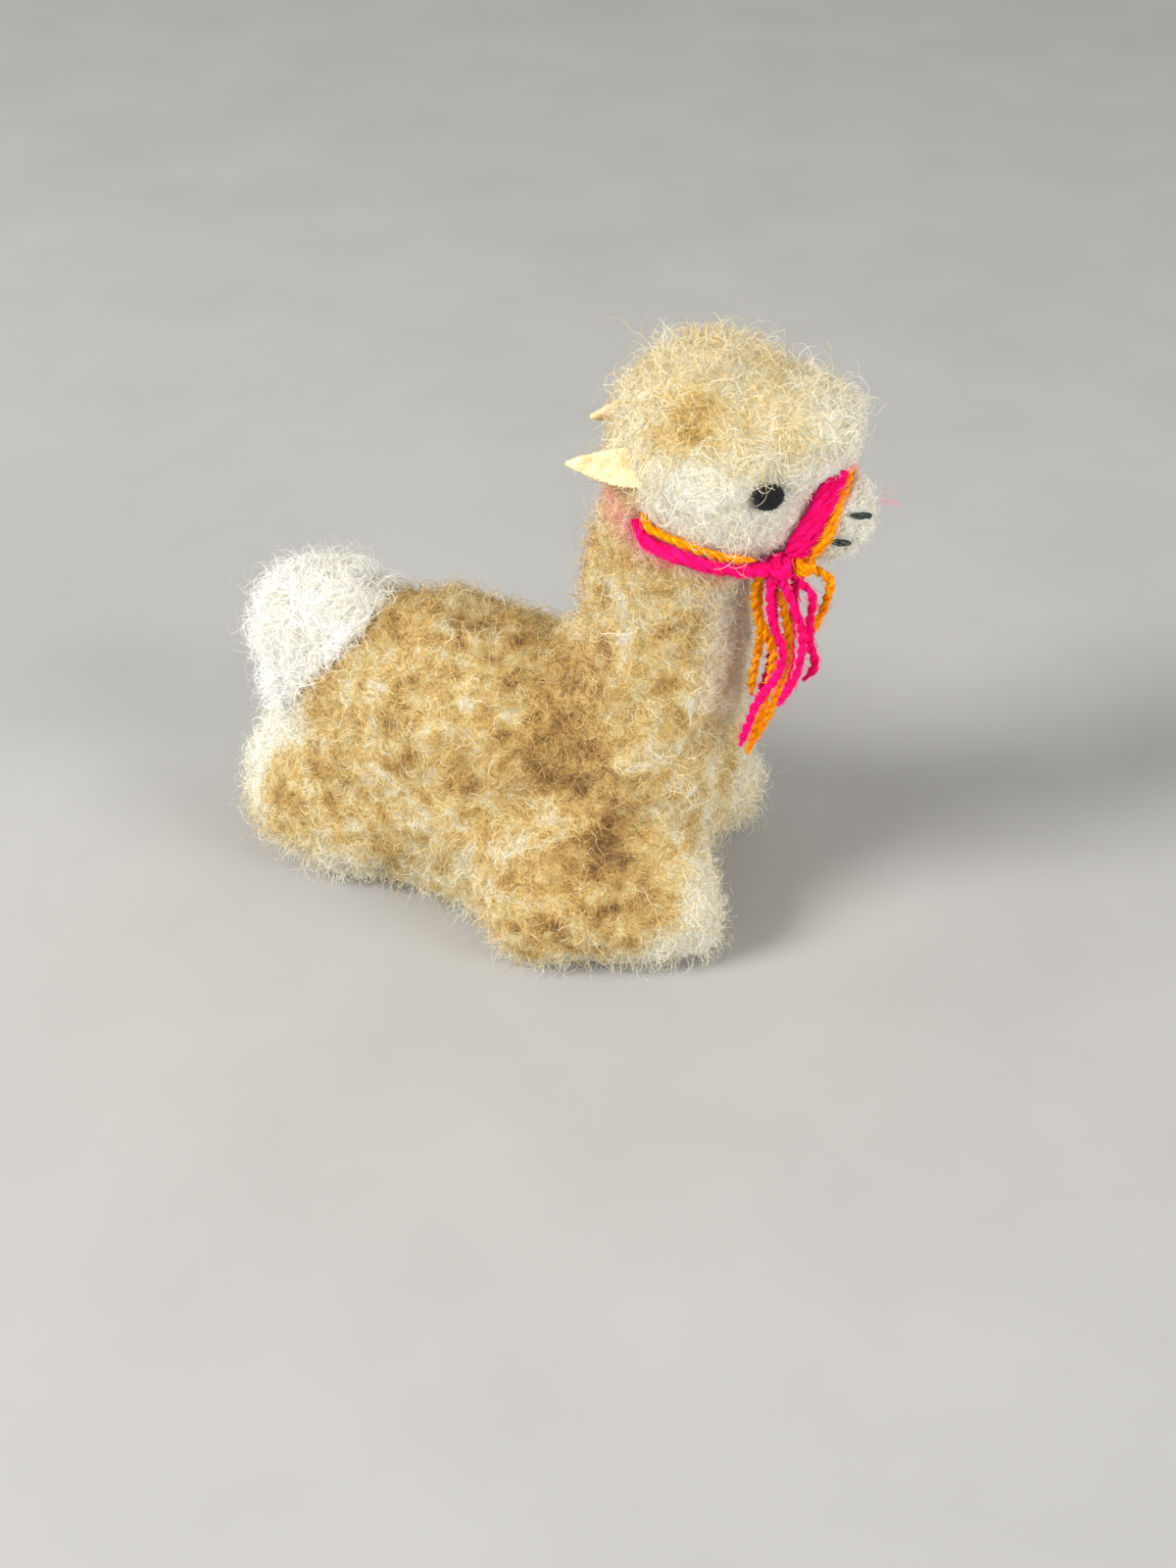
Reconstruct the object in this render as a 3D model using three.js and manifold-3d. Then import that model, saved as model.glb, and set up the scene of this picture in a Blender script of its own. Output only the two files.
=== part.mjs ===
// A small souvenir llama that lies with its legs under it. The figure is cropped fleece, sewn and stuffed,
// with a loose white tail tuft, hide ears, felt eyes, thread stitches at the mouth, and a halter of wool yarn
// that is knotted beside the jaw and ends in a tassel of free strands.
// Millimetres, +Z up. The llama faces +X, its right side faces -Y, and its flat underside lies in Z = 0.

import * as THREE from "three";
import { mergeVertices } from "three/addons/utils/BufferGeometryUtils.js";
import Module from "manifold-3d";

const wasm = await Module();
wasm.setup();

// Driving dimensions
const FIGURE_HEIGHT = 106; // ground to the top of the crown
const TUFT_DEPTH = 1.0; // how far the fleece's tufts rise and fall
const TUFT_SPACING = 19; // from one tuft to the next
const FLEECE_CELL = 5; // mesh size of the figure's surface
const YARN_DIAMETER = 1.7; // one strand of the halter's yarn
const NECK_CORD_DIAMETER = 2.7; // two thinner strands laid up together round the neck
const TASSEL_SPACING = 2.45; // from one strand of the tassel to the next
const KNOT_LENGTH = 5.8; // the pink knot along the llama
const SMALL_KNOT_LENGTH = 4.4; // the orange knot in front of it
const EYE_WIDTH = 5.3;
const EYE_HEIGHT = 4.4;
const EYE_THICKNESS = 2.4;
const EAR_LENGTH = 20; // tip to the sewn end inside the fleece
const EAR_WIDTH = 7;
const HIDE_THICKNESS = 1.4;
const MOUTH_STITCH_DIAMETER = 1.5;
const CHIN_STITCH_DIAMETER = 1.3;
const SEAT_GAP = 0.3; // clearance between a piece and the fleece or knot that it sits in

// The figure keeps its proportions: its masses are placed and sized in hundredths of its height.
const share = FIGURE_HEIGHT / 100;
const at = (x, y, z) => new THREE.Vector3(x, y, z).multiplyScalar(share);

// Signed distance to an ellipsoid whose long axis may be pitched nose-up by an angle in degrees.
function ellipsoid(centre, radii, pitch = 0) {
  const cos = Math.cos(THREE.MathUtils.degToRad(pitch));
  const sin = Math.sin(THREE.MathUtils.degToRad(pitch));
  return (p) => {
    const dx = p.x - centre.x;
    const dz = p.z - centre.z;
    const x = (dx * cos + dz * sin) / radii.x;
    const y = (p.y - centre.y) / radii.y;
    const z = (dz * cos - dx * sin) / radii.z;
    const near = Math.hypot(x, y, z);
    const slope = Math.hypot(x / radii.x, y / radii.y, z / radii.z);
    return slope > 1e-9 ? (near * (near - 1)) / slope : -Math.min(radii.x, radii.y, radii.z);
  };
}

// Signed distance to a limb: a round bar from one point to another whose radius changes evenly.
function limb(from, to, radiusFrom, radiusTo) {
  const axis = to.clone().sub(from);
  const lengthSquared = axis.lengthSq();
  return (p) => {
    const away = p.clone().sub(from);
    const along = THREE.MathUtils.clamp(away.dot(axis) / lengthSquared, 0, 1);
    const radius = radiusFrom + (radiusTo - radiusFrom) * along;
    return away.addScaledVector(axis, -along).length() - radius;
  };
}

// Signed distance to a ring of yarn round a centre, facing along a unit vector.
function ring(centre, facing, radius, thickness) {
  return (p) => {
    const away = p.clone().sub(centre);
    const out = away.dot(facing);
    const round = Math.sqrt(Math.max(away.lengthSq() - out * out, 0));
    return Math.hypot(round - radius, out) - thickness / 2;
  };
}

const bothSides = (mass) => (p) => mass(new THREE.Vector3(p.x, -Math.abs(p.y), p.z));

// Joins two distances with a soft fillet of the given radius.
function softJoin(a, b, fillet) {
  const overlap = Math.max(fillet - Math.abs(a - b), 0) / fillet;
  return Math.min(a, b) - (overlap * overlap * fillet) / 4;
}

const joined = (masses) => (p) =>
  masses.reduce((sum, { mass, fillet }) => softJoin(sum, mass(p), fillet * share), Infinity);

// The waves of tufts that crop up over the fleece.
function tufts(p, spacing) {
  const turn = (2 * Math.PI) / spacing;
  const x = p.x * turn + 0.9 * Math.sin(p.z * turn * 0.37);
  const y = p.y * turn + 0.9 * Math.sin(p.x * turn * 0.43);
  const z = p.z * turn + 0.9 * Math.sin(p.y * turn * 0.31);
  return Math.sin(x) * Math.cos(y) + Math.sin(y) * Math.cos(z) + Math.sin(z) * Math.cos(x);
}

// Torso, from the rump to the chest, and the neck.
const TORSO = [
  { mass: ellipsoid(at(-12.5, 0, 26.7), at(30, 20, 22.5), -10), fillet: 8 },
  { mass: ellipsoid(at(-34.5, 0, 12.5), at(17.5, 16.5, 15)), fillet: 7 },
  { mass: bothSides(ellipsoid(at(-28.5, -7, 12), at(18, 12, 15.5))), fillet: 6 },
  { mass: bothSides(ellipsoid(at(-6, -9.5, 11), at(17, 12.5, 15))), fillet: 7 },
  { mass: ellipsoid(at(17.5, 0, 27), at(16.5, 18, 25.5)), fillet: 6 },
  { mass: limb(at(20.8, 0, 42), at(22.8, 0, 66), 14.3 * share, 13.5 * share), fillet: 5 },
];
const FORELEGS = [
  { mass: bothSides(limb(at(7, -22, 8.5), at(27, -18, 7), 11.8 * share, 10 * share)), fillet: 7 },
];
const HEAD = [
  { mass: ellipsoid(at(27.5, 0, 83), at(16.2, 16, 17.2)), fillet: 6 },
  { mass: ellipsoid(at(41, 0, 87.6), at(10.8, 11.2, 7.2)), fillet: 4 },
  { mass: ellipsoid(at(32, 0, 74.5), at(12.2, 12.6, 10.8), -12), fillet: 6 },
];
const MUZZLE = [
  { mass: ellipsoid(at(46.3, 0, 75.3), at(7, 7, 5.6)), fillet: 4 },
  { mass: ellipsoid(at(47.5, 0, 70.6), at(5.2, 6, 4.5)), fillet: 3 },
];
const MUZZLE_CENTRE = at(48, 0, 73);
const MUZZLE_REACH = 11 * share;

const plainFleece = joined([...TORSO, ...FORELEGS, ...HEAD, ...MUZZLE]);

// The figure's surface: its masses with the tufts on them, cropped short on the muzzle.
function fleeceBody(p) {
  const away = p.distanceTo(MUZZLE_CENTRE);
  const crop = THREE.MathUtils.smoothstep(away, MUZZLE_REACH * 0.7, MUZZLE_REACH * 1.5);
  return plainFleece(p) + (TUFT_DEPTH * crop * tufts(p, TUFT_SPACING)) / 1.5;
}

const plainTail = joined([
  { mass: ellipsoid(at(-36, 0, 43), at(12.7, 12, 11.3)), fillet: 6 },
  { mass: ellipsoid(at(-39.3, 0, 34), at(7.6, 10, 8.5)), fillet: 6 },
]);
const tailTuft = (p) => plainTail(p) + (TUFT_DEPTH * tufts(p, TUFT_SPACING * 0.7)) / 1.5;

const AXES = [
  [1, 0, 0],
  [0, 1, 0],
  [0, 0, 1],
];

// The grid point that is reached by steps along the two axes across the given one.
function across(point, axis, firstSteps, secondSteps) {
  const first = AXES[(axis + 1) % 3];
  const second = AXES[(axis + 2) % 3];
  return point.map((value, n) => value + firstSteps * first[n] + secondSteps * second[n]);
}

// Makes a closed surface round everything where the distance is negative: one vertex in each grid cell that
// the surface passes through, and a pair of triangles across each grid edge that it crosses.
const SNAP = 0.2; // how far a vertex may move onto the surface, as a share of a cell
function skinOf(distance, low, high, cell) {
  const size = high.clone().sub(low);
  const count = [size.x, size.y, size.z].map((s) => Math.ceil(s / cell) + 1);
  const node = (i, j, k) => (k * count[1] + j) * count[0] + i;
  const place = (i, j, k) => new THREE.Vector3(low.x + i * cell, low.y + j * cell, low.z + k * cell);
  const values = new Float64Array(count[0] * count[1] * count[2]);
  for (let k = 0; k < count[2]; k++)
    for (let j = 0; j < count[1]; j++)
      for (let i = 0; i < count[0]; i++) values[node(i, j, k)] = distance(place(i, j, k));
  while (partSheets(values, count, node));

  const vertices = [];
  const cellVertex = new Map();
  const corners = [0, 1, 2, 3, 4, 5, 6, 7].map((c) => [c & 1, (c >> 1) & 1, (c >> 2) & 1]);
  for (let k = 0; k < count[2] - 1; k++)
    for (let j = 0; j < count[1] - 1; j++)
      for (let i = 0; i < count[0] - 1; i++) {
        const sum = new THREE.Vector3();
        let crossings = 0;
        for (let a = 0; a < 8; a++)
          for (const bit of [1, 2, 4]) {
            const b = a | bit;
            if (b === a) continue;
            const [pa, pb] = [a, b].map((c) => corners[c]);
            const va = values[node(i + pa[0], j + pa[1], k + pa[2])];
            const vb = values[node(i + pb[0], j + pb[1], k + pb[2])];
            if (va < 0 === vb < 0) continue;
            const from = place(i + pa[0], j + pa[1], k + pa[2]);
            sum.add(from.lerp(place(i + pb[0], j + pb[1], k + pb[2]), va / (va - vb)));
            crossings++;
          }
        if (!crossings) continue;
        cellVertex.set(node(i, j, k), vertices.length);
        vertices.push(ontoSurface(sum.divideScalar(crossings), distance, cell * SNAP));
      }

  const faces = [];
  for (let k = 1; k < count[2] - 1; k++)
    for (let j = 1; j < count[1] - 1; j++)
      for (let i = 1; i < count[0] - 1; i++)
        AXES.forEach((step, axis) => {
          const here = values[node(i, j, k)];
          const there = values[node(i + step[0], j + step[1], k + step[2])];
          if (here < 0 === there < 0) return;
          const cellAt = (du, dv) => cellVertex.get(node(...across([i, j, k], axis, -du, -dv)));
          const quad = [cellAt(1, 1), cellAt(0, 1), cellAt(0, 0), cellAt(1, 0)];
          if (here >= 0) quad.reverse();
          addQuad(faces, vertices, quad);
        });
  const positions = vertices.flatMap((v) => [v.x, v.y, v.z]);
  return new THREE.BufferGeometry()
    .setAttribute("position", new THREE.Float32BufferAttribute(positions, 3))
    .setIndex(faces);
}

// Where a grid face has two opposite corners inside and two outside, the corner that is less deep inside is
// put outside, so that no two sheets of the surface meet along an edge. Tells whether it moved any.
function partSheets(values, count, node) {
  let moved = false;
  for (let k = 0; k < count[2] - 1; k++)
    for (let j = 0; j < count[1] - 1; j++)
      for (let i = 0; i < count[0] - 1; i++)
        AXES.forEach((unused, axis) => {
          const corner = (du, dv) => node(...across([i, j, k], axis, du, dv));
          const round = [corner(0, 0), corner(1, 0), corner(1, 1), corner(0, 1)];
          const inside = round.filter((n) => values[n] < 0);
          if (inside.length !== 2 || (round.indexOf(inside[1]) - round.indexOf(inside[0])) % 2) return;
          const shallow = values[inside[0]] > values[inside[1]] ? inside[0] : inside[1];
          values[shallow] = -values[shallow];
          moved = true;
        });
  return moved;
}

// Splits a four-sided face along its shorter diagonal.
function addQuad(faces, vertices, [a, b, c, d]) {
  if (vertices[a].distanceTo(vertices[c]) < vertices[b].distanceTo(vertices[d])) faces.push(a, b, c, a, c, d);
  else faces.push(a, b, d, b, c, d);
}

function slopeAt(distance, p, step = 0.8) {
  const difference = (x, y, z) => {
    const shift = new THREE.Vector3(x, y, z).multiplyScalar(step);
    return distance(p.clone().add(shift)) - distance(p.clone().sub(shift));
  };
  return new THREE.Vector3(difference(1, 0, 0), difference(0, 1, 0), difference(0, 0, 1)).normalize();
}

// Moves a point onto the surface, by no more than the given reach.
function ontoSurface(p, distance, reach) {
  const gap = THREE.MathUtils.clamp(distance(p), -reach, reach);
  return p.addScaledVector(slopeAt(distance, p), -gap);
}

// The first point of the figure's surface on the way from a start point along a direction.
function surfaceAhead(start, direction) {
  const p = start.clone();
  for (let n = 0; n < 200 && fleeceBody(p) > 0.01; n++) p.addScaledVector(direction, fleeceBody(p) * 0.5);
  return p;
}

// Lays a guide point on the plain fleece at the given height above it. With a normal and a reach, it stays in
// its plane and moves no further than that.
function laidOnFleece(guide, lift, normal = new THREE.Vector3(), reach = Infinity) {
  const p = guide.clone();
  for (let n = 0; n < 14; n++) {
    const way = slopeAt(plainFleece, p, 1);
    way.addScaledVector(normal, -way.dot(normal));
    p.addScaledVector(way, ((lift - plainFleece(p)) * 0.7) / Math.max(way.lengthSq(), 0.35));
  }
  const moved = p.sub(guide);
  return moved.clampLength(0, reach).add(guide);
}

function toSolid(geometry) {
  const source = geometry.index ? geometry.toNonIndexed() : geometry;
  const bare = new THREE.BufferGeometry().setAttribute("position", source.getAttribute("position"));
  const merged = mergeVertices(bare, 1e-4);
  const corners = Array.from(merged.index.array);
  const faces = [];
  for (let n = 0; n < corners.length; n += 3) {
    const [a, b, c] = corners.slice(n, n + 3);
    if (a !== b && b !== c && c !== a) faces.push(a, b, c);
  }
  const vertProperties = merged.getAttribute("position").array;
  return new wasm.Manifold(new wasm.Mesh({ numProp: 3, vertProperties, triVerts: new Uint32Array(faces) }));
}

function toGeometry(solid) {
  const mesh = solid.getMesh();
  return new THREE.BufferGeometry()
    .setAttribute("position", new THREE.BufferAttribute(new Float32Array(mesh.vertProperties), 3))
    .setIndex(new THREE.BufferAttribute(new Uint32Array(mesh.triVerts), 1));
}

// A strand of yarn as a tube of eight sides along its route. With an allowance it is the strand's seat, a
// tube of six sides whose flats clear the strand by that much.
const STRAND_SIDES = 8;
const SEAT_SIDES = 6;
const STEP_IN_DIAMETERS = 2.6;
function strand(route, diameter, allowance = 0) {
  const path = new THREE.CatmullRomCurve3(route, false, "centripetal");
  const steps = Math.max(4, Math.round(path.getLength() / (STEP_IN_DIAMETERS * diameter)));
  const sides = allowance ? SEAT_SIDES : STRAND_SIDES;
  const radius = allowance ? (diameter / 2 + allowance) / Math.cos(Math.PI / sides) : diameter / 2;
  const section = new THREE.Shape();
  for (let n = 0; n < sides; n++) {
    const turn = (n / sides) * 2 * Math.PI;
    const corner = [radius * Math.cos(turn), radius * Math.sin(turn)];
    if (n) section.lineTo(...corner);
    else section.moveTo(...corner);
  }
  return toSolid(new THREE.ExtrudeGeometry(section, { steps, extrudePath: path, bevelEnabled: false }));
}

// A closed skin over rings of vertices that follow each other, with a flat end at each side.
function loft(vertices, rings, perRing) {
  const faces = [];
  for (let r = 0; r < rings - 1; r++)
    for (let m = 0; m < perRing; m++) {
      const next = (m + 1) % perRing;
      const quad = [r * perRing + m, r * perRing + next, (r + 1) * perRing + next, (r + 1) * perRing + m];
      addQuad(faces, vertices, quad);
    }
  const last = (rings - 1) * perRing;
  for (let m = 1; m < perRing - 1; m++) faces.push(0, m + 1, m, last, last + m, last + m + 1);
  const positions = vertices.flatMap((v) => [v.x, v.y, v.z]);
  return new THREE.BufferGeometry()
    .setAttribute("position", new THREE.Float32BufferAttribute(positions, 3))
    .setIndex(faces);
}

// Ears: a leaf of hide with curled edges, from a sewn end inside the fleece to a blunt tip behind the head.
const EAR_RINGS = 10;
const EAR_SIDES = 10;
const EAR_CURL = 0.3; // rise of the edges as a share of the half-width
const EAR_ROOT = at(25, -13.2, 84.3);
const EAR_TIP = at(8, -8.2, 81.3);

// Half-width of the ear as a share of its widest, from its sewn end (0) to its tip (1).
function earOutline(along) {
  const belly = 0.35;
  const end = along < belly ? 0.62 : 0.13;
  const rise = along < belly ? along / belly : (1 - along) / (1 - belly);
  return end + (1 - end) * Math.sin((rise * Math.PI) / 2) ** 0.9;
}

function ear(side, allowance) {
  const mirror = new THREE.Vector3(1, -side, 1);
  const root = EAR_ROOT.clone().multiply(mirror);
  const along = EAR_TIP.clone().multiply(mirror).sub(root).normalize();
  const across = new THREE.Vector3().crossVectors(along, new THREE.Vector3(-0.3, side, 0.15)).normalize();
  const face = new THREE.Vector3().crossVectors(across, along);
  const half = HIDE_THICKNESS / 2 + allowance;
  const vertices = [];
  for (let r = 0; r < EAR_RINGS; r++) {
    const share = r / (EAR_RINGS - 1);
    const width = (EAR_WIDTH / 2) * earOutline(share) + allowance;
    const reach = share * (EAR_LENGTH + 2 * allowance) - allowance;
    for (let m = 0; m < EAR_SIDES; m++) {
      const turn = (m / EAR_SIDES) * 2 * Math.PI;
      const curl = EAR_CURL * (EAR_WIDTH / 2) * (Math.cos(turn) * earOutline(share)) ** 2;
      vertices.push(new THREE.Vector3(reach, curl - Math.sin(turn) * half, Math.cos(turn) * width));
    }
  }
  const place = new THREE.Matrix4().makeBasis(along, face, across).setPosition(root);
  return toSolid(loft(vertices, EAR_RINGS, EAR_SIDES).applyMatrix4(place));
}

// Eyes: an oval of felt, flat behind and domed in front, pressed into the fleece on each side of the face.
const EYE_SUNK = 0.6; // share of the eye's thickness below the surface
const EYE_SIDES = 16;
function eye(side, allowance) {
  const wide = EYE_WIDTH / 2 + allowance;
  const high = EYE_HEIGHT / 2 + allowance;
  const back = -EYE_THICKNESS * EYE_SUNK - allowance;
  const depth = EYE_THICKNESS + 2 * allowance;
  const profile = [
    [0, 0],
    [0.86, 0],
    [1, 0.45],
    [0.9, 0.78],
    [0.55, 0.95],
    [0, 1],
  ];
  const outline = profile.map(([out, up]) => new THREE.Vector2(out, back + up * depth));
  const seat = surfaceAhead(at(39, 30 * side, 81), new THREE.Vector3(0, -side, 0));
  const facing = slopeAt(plainFleece, seat, 2);
  const across = new THREE.Vector3().crossVectors(facing, new THREE.Vector3(0, 0, 1)).normalize();
  const place = new THREE.Matrix4().makeBasis(across, facing, new THREE.Vector3().crossVectors(across, facing));
  place.setPosition(seat).scale(new THREE.Vector3(wide, 1, high));
  return toSolid(new THREE.LatheGeometry(outline, EYE_SIDES).applyMatrix4(place));
}

// A thread stitch: a strand that swells from both pointed ends and lies on the fleece.
const STITCH_RINGS = 7;
function stitch(guides, diameter, allowance) {
  const route = guides.map((guide) => laidOnFleece(guide, 0));
  const path = new THREE.CatmullRomCurve3(route);
  const frames = path.computeFrenetFrames(STITCH_RINGS - 1);
  const vertices = [];
  for (let r = 0; r < STITCH_RINGS; r++) {
    const share = r / (STITCH_RINGS - 1);
    const radius = (diameter / 2) * (0.3 + 0.7 * Math.sin(share * Math.PI)) + allowance;
    const ends = allowance * (2 * share - 1);
    const centre = path.getPointAt(share).addScaledVector(frames.tangents[r], ends);
    for (let m = 0; m < STRAND_SIDES; m++) {
      const turn = (m / STRAND_SIDES) * 2 * Math.PI;
      const out = frames.normals[r].clone().multiplyScalar(Math.cos(turn) * radius);
      vertices.push(out.addScaledVector(frames.binormals[r], Math.sin(turn) * radius).add(centre));
    }
  }
  return toSolid(loft(vertices, STITCH_RINGS, STRAND_SIDES));
}

const mouthStitch = (side, allowance) => {
  const guides = [at(50.6, 5.4 * side, 76.2), at(52.2, 3.6 * side, 75.3), at(53.2, 1.1 * side, 74.3)];
  return stitch(guides, MOUTH_STITCH_DIAMETER, allowance);
};
const chinStitch = (allowance) => {
  const guides = [at(48.2, -6.2, 71.9), at(49.5, -5.7, 71.6), at(50.8, -4.9, 71.2)];
  return stitch(guides, CHIN_STITCH_DIAMETER, allowance);
};

// The knot beside the jaw, on the llama's right: a pink one, and an orange one in front of it.
const KNOT_CELL = 1.25;
const KNOT_CENTRE = at(40.6, -9.2, 67.9);
const KNOTS_APART = (KNOT_LENGTH + SMALL_KNOT_LENGTH) * 0.37;
const SMALL_KNOT_CENTRE = new THREE.Vector3(KNOTS_APART, 1.2, 0.4).add(KNOT_CENTRE);

function knot(centre, length, wrapFacing) {
  const core = ellipsoid(centre, new THREE.Vector3(0.5, 0.42, 0.41).multiplyScalar(length));
  const wrap = ring(centre, wrapFacing.normalize(), length * 0.3, YARN_DIAMETER);
  return (p) => softJoin(core(p), wrap(p), 0.8);
}

const pinkKnot = knot(KNOT_CENTRE, KNOT_LENGTH, new THREE.Vector3(0.8, 0.3, 0.5));
const orangeKnot = knot(SMALL_KNOT_CENTRE, SMALL_KNOT_LENGTH, new THREE.Vector3(0.7, -0.2, -0.7));

function knotSolid(distance, centre, length, allowance) {
  const reach = new THREE.Vector3(1, 1, 1).multiplyScalar(length * 0.5 + YARN_DIAMETER + 2 * KNOT_CELL);
  const swollen = (p) => distance(p) - allowance;
  return toSolid(skinOf(swollen, centre.clone().sub(reach), centre.clone().add(reach), KNOT_CELL));
}

// Halter: loops of yarn round the nose and the neck that both start and end in the knot. A loop lies in a
// plane through its centre; angle 0 is straight ahead along the pitch and the angle grows towards the llama's
// right. The dip is how far its far end drops out of that plane, as the neck's loop does on its way under the
// jaw. With a reach, its points stay in the plane and move no further than that to lie on the fleece.
const NOSE_LOOP = {
  centre: at(43.6, 0, 73.2),
  pitch: 69,
  across: 8.3 * share,
  ahead: 9.2 * share,
  dip: 0,
  reach: 2.5,
};
const NECK_LOOP = {
  centre: at(23.1, 0, 71.8),
  pitch: -12,
  across: 14 * share,
  ahead: 14.5 * share,
  dip: 6.5 * share,
};
const BAND_SPACING = YARN_DIAMETER + SEAT_GAP + 0.05;

const planeNormal = (loop) => {
  const pitch = THREE.MathUtils.degToRad(loop.pitch);
  return new THREE.Vector3(-Math.sin(pitch), 0, Math.cos(pitch));
};

function loopRoute(loop, from, to, count, sideways, lift) {
  const pitch = THREE.MathUtils.degToRad(loop.pitch);
  const normal = planeNormal(loop);
  const route = [];
  for (let n = 0; n < count; n++) {
    const angle = THREE.MathUtils.degToRad(from + ((to - from) * n) / (count - 1));
    const ahead = Math.cos(angle) * loop.ahead;
    const aside = -Math.sin(angle) * loop.across;
    const out = new THREE.Vector3(ahead * Math.cos(pitch), aside, ahead * Math.sin(pitch));
    const drop = angle > Math.PI ? loop.dip * Math.max(Math.cos(angle), 0) ** 4 : 0;
    const guide = out.add(loop.centre).addScaledVector(normal, sideways - drop);
    route.push(loop.reach ? laidOnFleece(guide, lift, normal, loop.reach) : laidOnFleece(guide, lift));
  }
  return route;
}

// The neighbour of a route that lies on the fleece: the same route moved along the surface.
function beside(route, distance, lift) {
  return route.map((p, n) => {
    const along = route[Math.min(n + 1, route.length - 1)].clone().sub(route[Math.max(n - 1, 0)]).normalize();
    const aside = new THREE.Vector3().crossVectors(slopeAt(plainFleece, p, 1), along).normalize();
    return laidOnFleece(p.clone().addScaledVector(aside, distance), lift);
  });
}

const YARN_LIFT = 0.4 * YARN_DIAMETER;
const inKnot = (centre, x, y, z) => centre.clone().add(new THREE.Vector3(x, y, z));

// One strand round the nose, at its place across the band: out of the top of a knot and back in behind it.
function noseStrand(place, centre, shift) {
  const sideways = place * BAND_SPACING;
  const aside = planeNormal(NOSE_LOOP).multiplyScalar(shift * BAND_SPACING);
  const loop = loopRoute(NOSE_LOOP, 105, -200, 17, sideways, YARN_LIFT);
  return [inKnot(centre, 0, -0.6, 0.8).add(aside), ...loop, inKnot(centre, 0.3, 1.4, 0.4).add(aside)];
}

const neckLoop = loopRoute(NECK_LOOP, 45, 370, 20, 0, YARN_LIFT);
const neckPinkRoute = [inKnot(KNOT_CENTRE, -1, -0.6, 0.2), ...neckLoop, inKnot(KNOT_CENTRE, -2.2, 2.4, -1.4)];
const neckOrangeLoop = beside(neckLoop, -(NECK_CORD_DIAMETER + YARN_DIAMETER) / 2 - SEAT_GAP, YARN_LIFT);
const neckOrangeRoute = [inKnot(KNOT_CENTRE, 0.6, -0.3, 1.4), ...neckOrangeLoop.slice(0, -2)];
const BANDS = [
  { name: "noseband_pink_1", route: noseStrand(0.2, KNOT_CENTRE, 0.4), diameter: YARN_DIAMETER },
  { name: "noseband_pink_2", route: noseStrand(-0.8, KNOT_CENTRE, -0.6), diameter: YARN_DIAMETER },
  { name: "noseband_orange", route: noseStrand(-1.8, SMALL_KNOT_CENTRE, 0), diameter: YARN_DIAMETER },
  { name: "neckband_pink", route: neckPinkRoute, diameter: NECK_CORD_DIAMETER },
  { name: "neckband_orange", route: neckOrangeRoute, diameter: YARN_DIAMETER },
];

// Tassel: free strands that leave a knot, or come out under the neck band beside it, and hang in layers from
// the llama's right (0) to its left. Each one starts at [ahead, left, up] from the pink knot's centre and
// follows a line of [ahead, up]. Ahead and left are in tassel spacings, up is in hundredths of the height.
const TASSEL = [
  {
    name: "tassel_pink_1",
    start: [0.9, 0.1, -0.5],
    layer: 1,
    line: [
      [1.45, -2.3],
      [2.2, -4.6],
      [2.15, -8],
      [2.25, -13],
      [2.7, -17],
      [1.95, -19.7],
    ],
  },
  {
    name: "tassel_pink_2",
    start: [0.3, -0.4, -1],
    layer: 0,
    line: [
      [0.6, -3.2],
      [1.35, -6],
      [1.85, -10],
      [1.6, -17],
      [0.5, -23.5],
    ],
  },
  {
    name: "tassel_pink_3",
    start: [0.5, 0.9, -0.5],
    layer: 3,
    line: [
      [0.9, -2.5],
      [0.8, -7],
      [0.7, -14],
      [0.75, -20],
      [0.2, -27],
    ],
  },
  {
    name: "tassel_pink_4",
    start: [-0.3, -0.4, -1],
    layer: 0,
    line: [
      [-0.5, -3.2],
      [-0.2, -8.5],
      [0.6, -13.5],
      [0.45, -17],
      [-0.65, -22],
      [-1.2, -25],
      [-2, -32],
    ],
  },
  {
    name: "tassel_pink_5",
    start: [-0.6, 1.6, -4.4],
    layer: 3,
    line: [
      [-0.6, -7],
      [-0.5, -14],
      [-0.6, -20],
      [-1.25, -28],
    ],
  },
  {
    name: "tassel_orange_1",
    start: [1.9, 0.9, -0.4],
    layer: 2,
    line: [
      [3.1, -1.8],
      [3.2, -4.2],
      [2.85, -8],
      [2.4, -11],
      [2.05, -13.8],
    ],
  },
  {
    name: "tassel_orange_2",
    start: [0.1, 0.3, -1],
    layer: 2,
    line: [
      [0.2, -3.2],
      [0.15, -7],
      [0.65, -13],
      [0.6, -19],
      [0, -25],
      [-1.2, -33.3],
    ],
  },
  {
    name: "tassel_orange_3",
    start: [-0.9, -0.3, -0.5],
    layer: 1,
    line: [
      [-1.45, -2.3],
      [-1.45, -7.5],
      [-0.7, -12],
      [-0.15, -16],
      [-0.4, -22],
      [-1.1, -30],
      [-1.6, -35],
    ],
  },
  {
    name: "tassel_orange_4",
    start: [-1.5, 1.5, -4.4],
    layer: 2,
    line: [
      [-1.5, -7],
      [-1.25, -14],
      [-1.6, -21],
      [-1.65, -25.2],
    ],
  },
];
const LAYER_SETTLES = 7; // how far down a strand has reached its layer, in hundredths of the height
const NEAREST_LAYER = -0.75; // the first layer's place in tassel spacings to the left of the knot's centre

function tasselRoute({ start, layer, line }) {
  const point = (ahead, left, up) =>
    new THREE.Vector3(ahead * TASSEL_SPACING, left * TASSEL_SPACING, up * share).add(KNOT_CENTRE);
  const hanging = line.map(([ahead, up]) => {
    const settled = THREE.MathUtils.smoothstep(-up, -start[2], LAYER_SETTLES);
    return point(ahead, start[1] + (layer + NEAREST_LAYER - start[1]) * settled, up);
  });
  return [point(...start), ...hanging];
}

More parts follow.
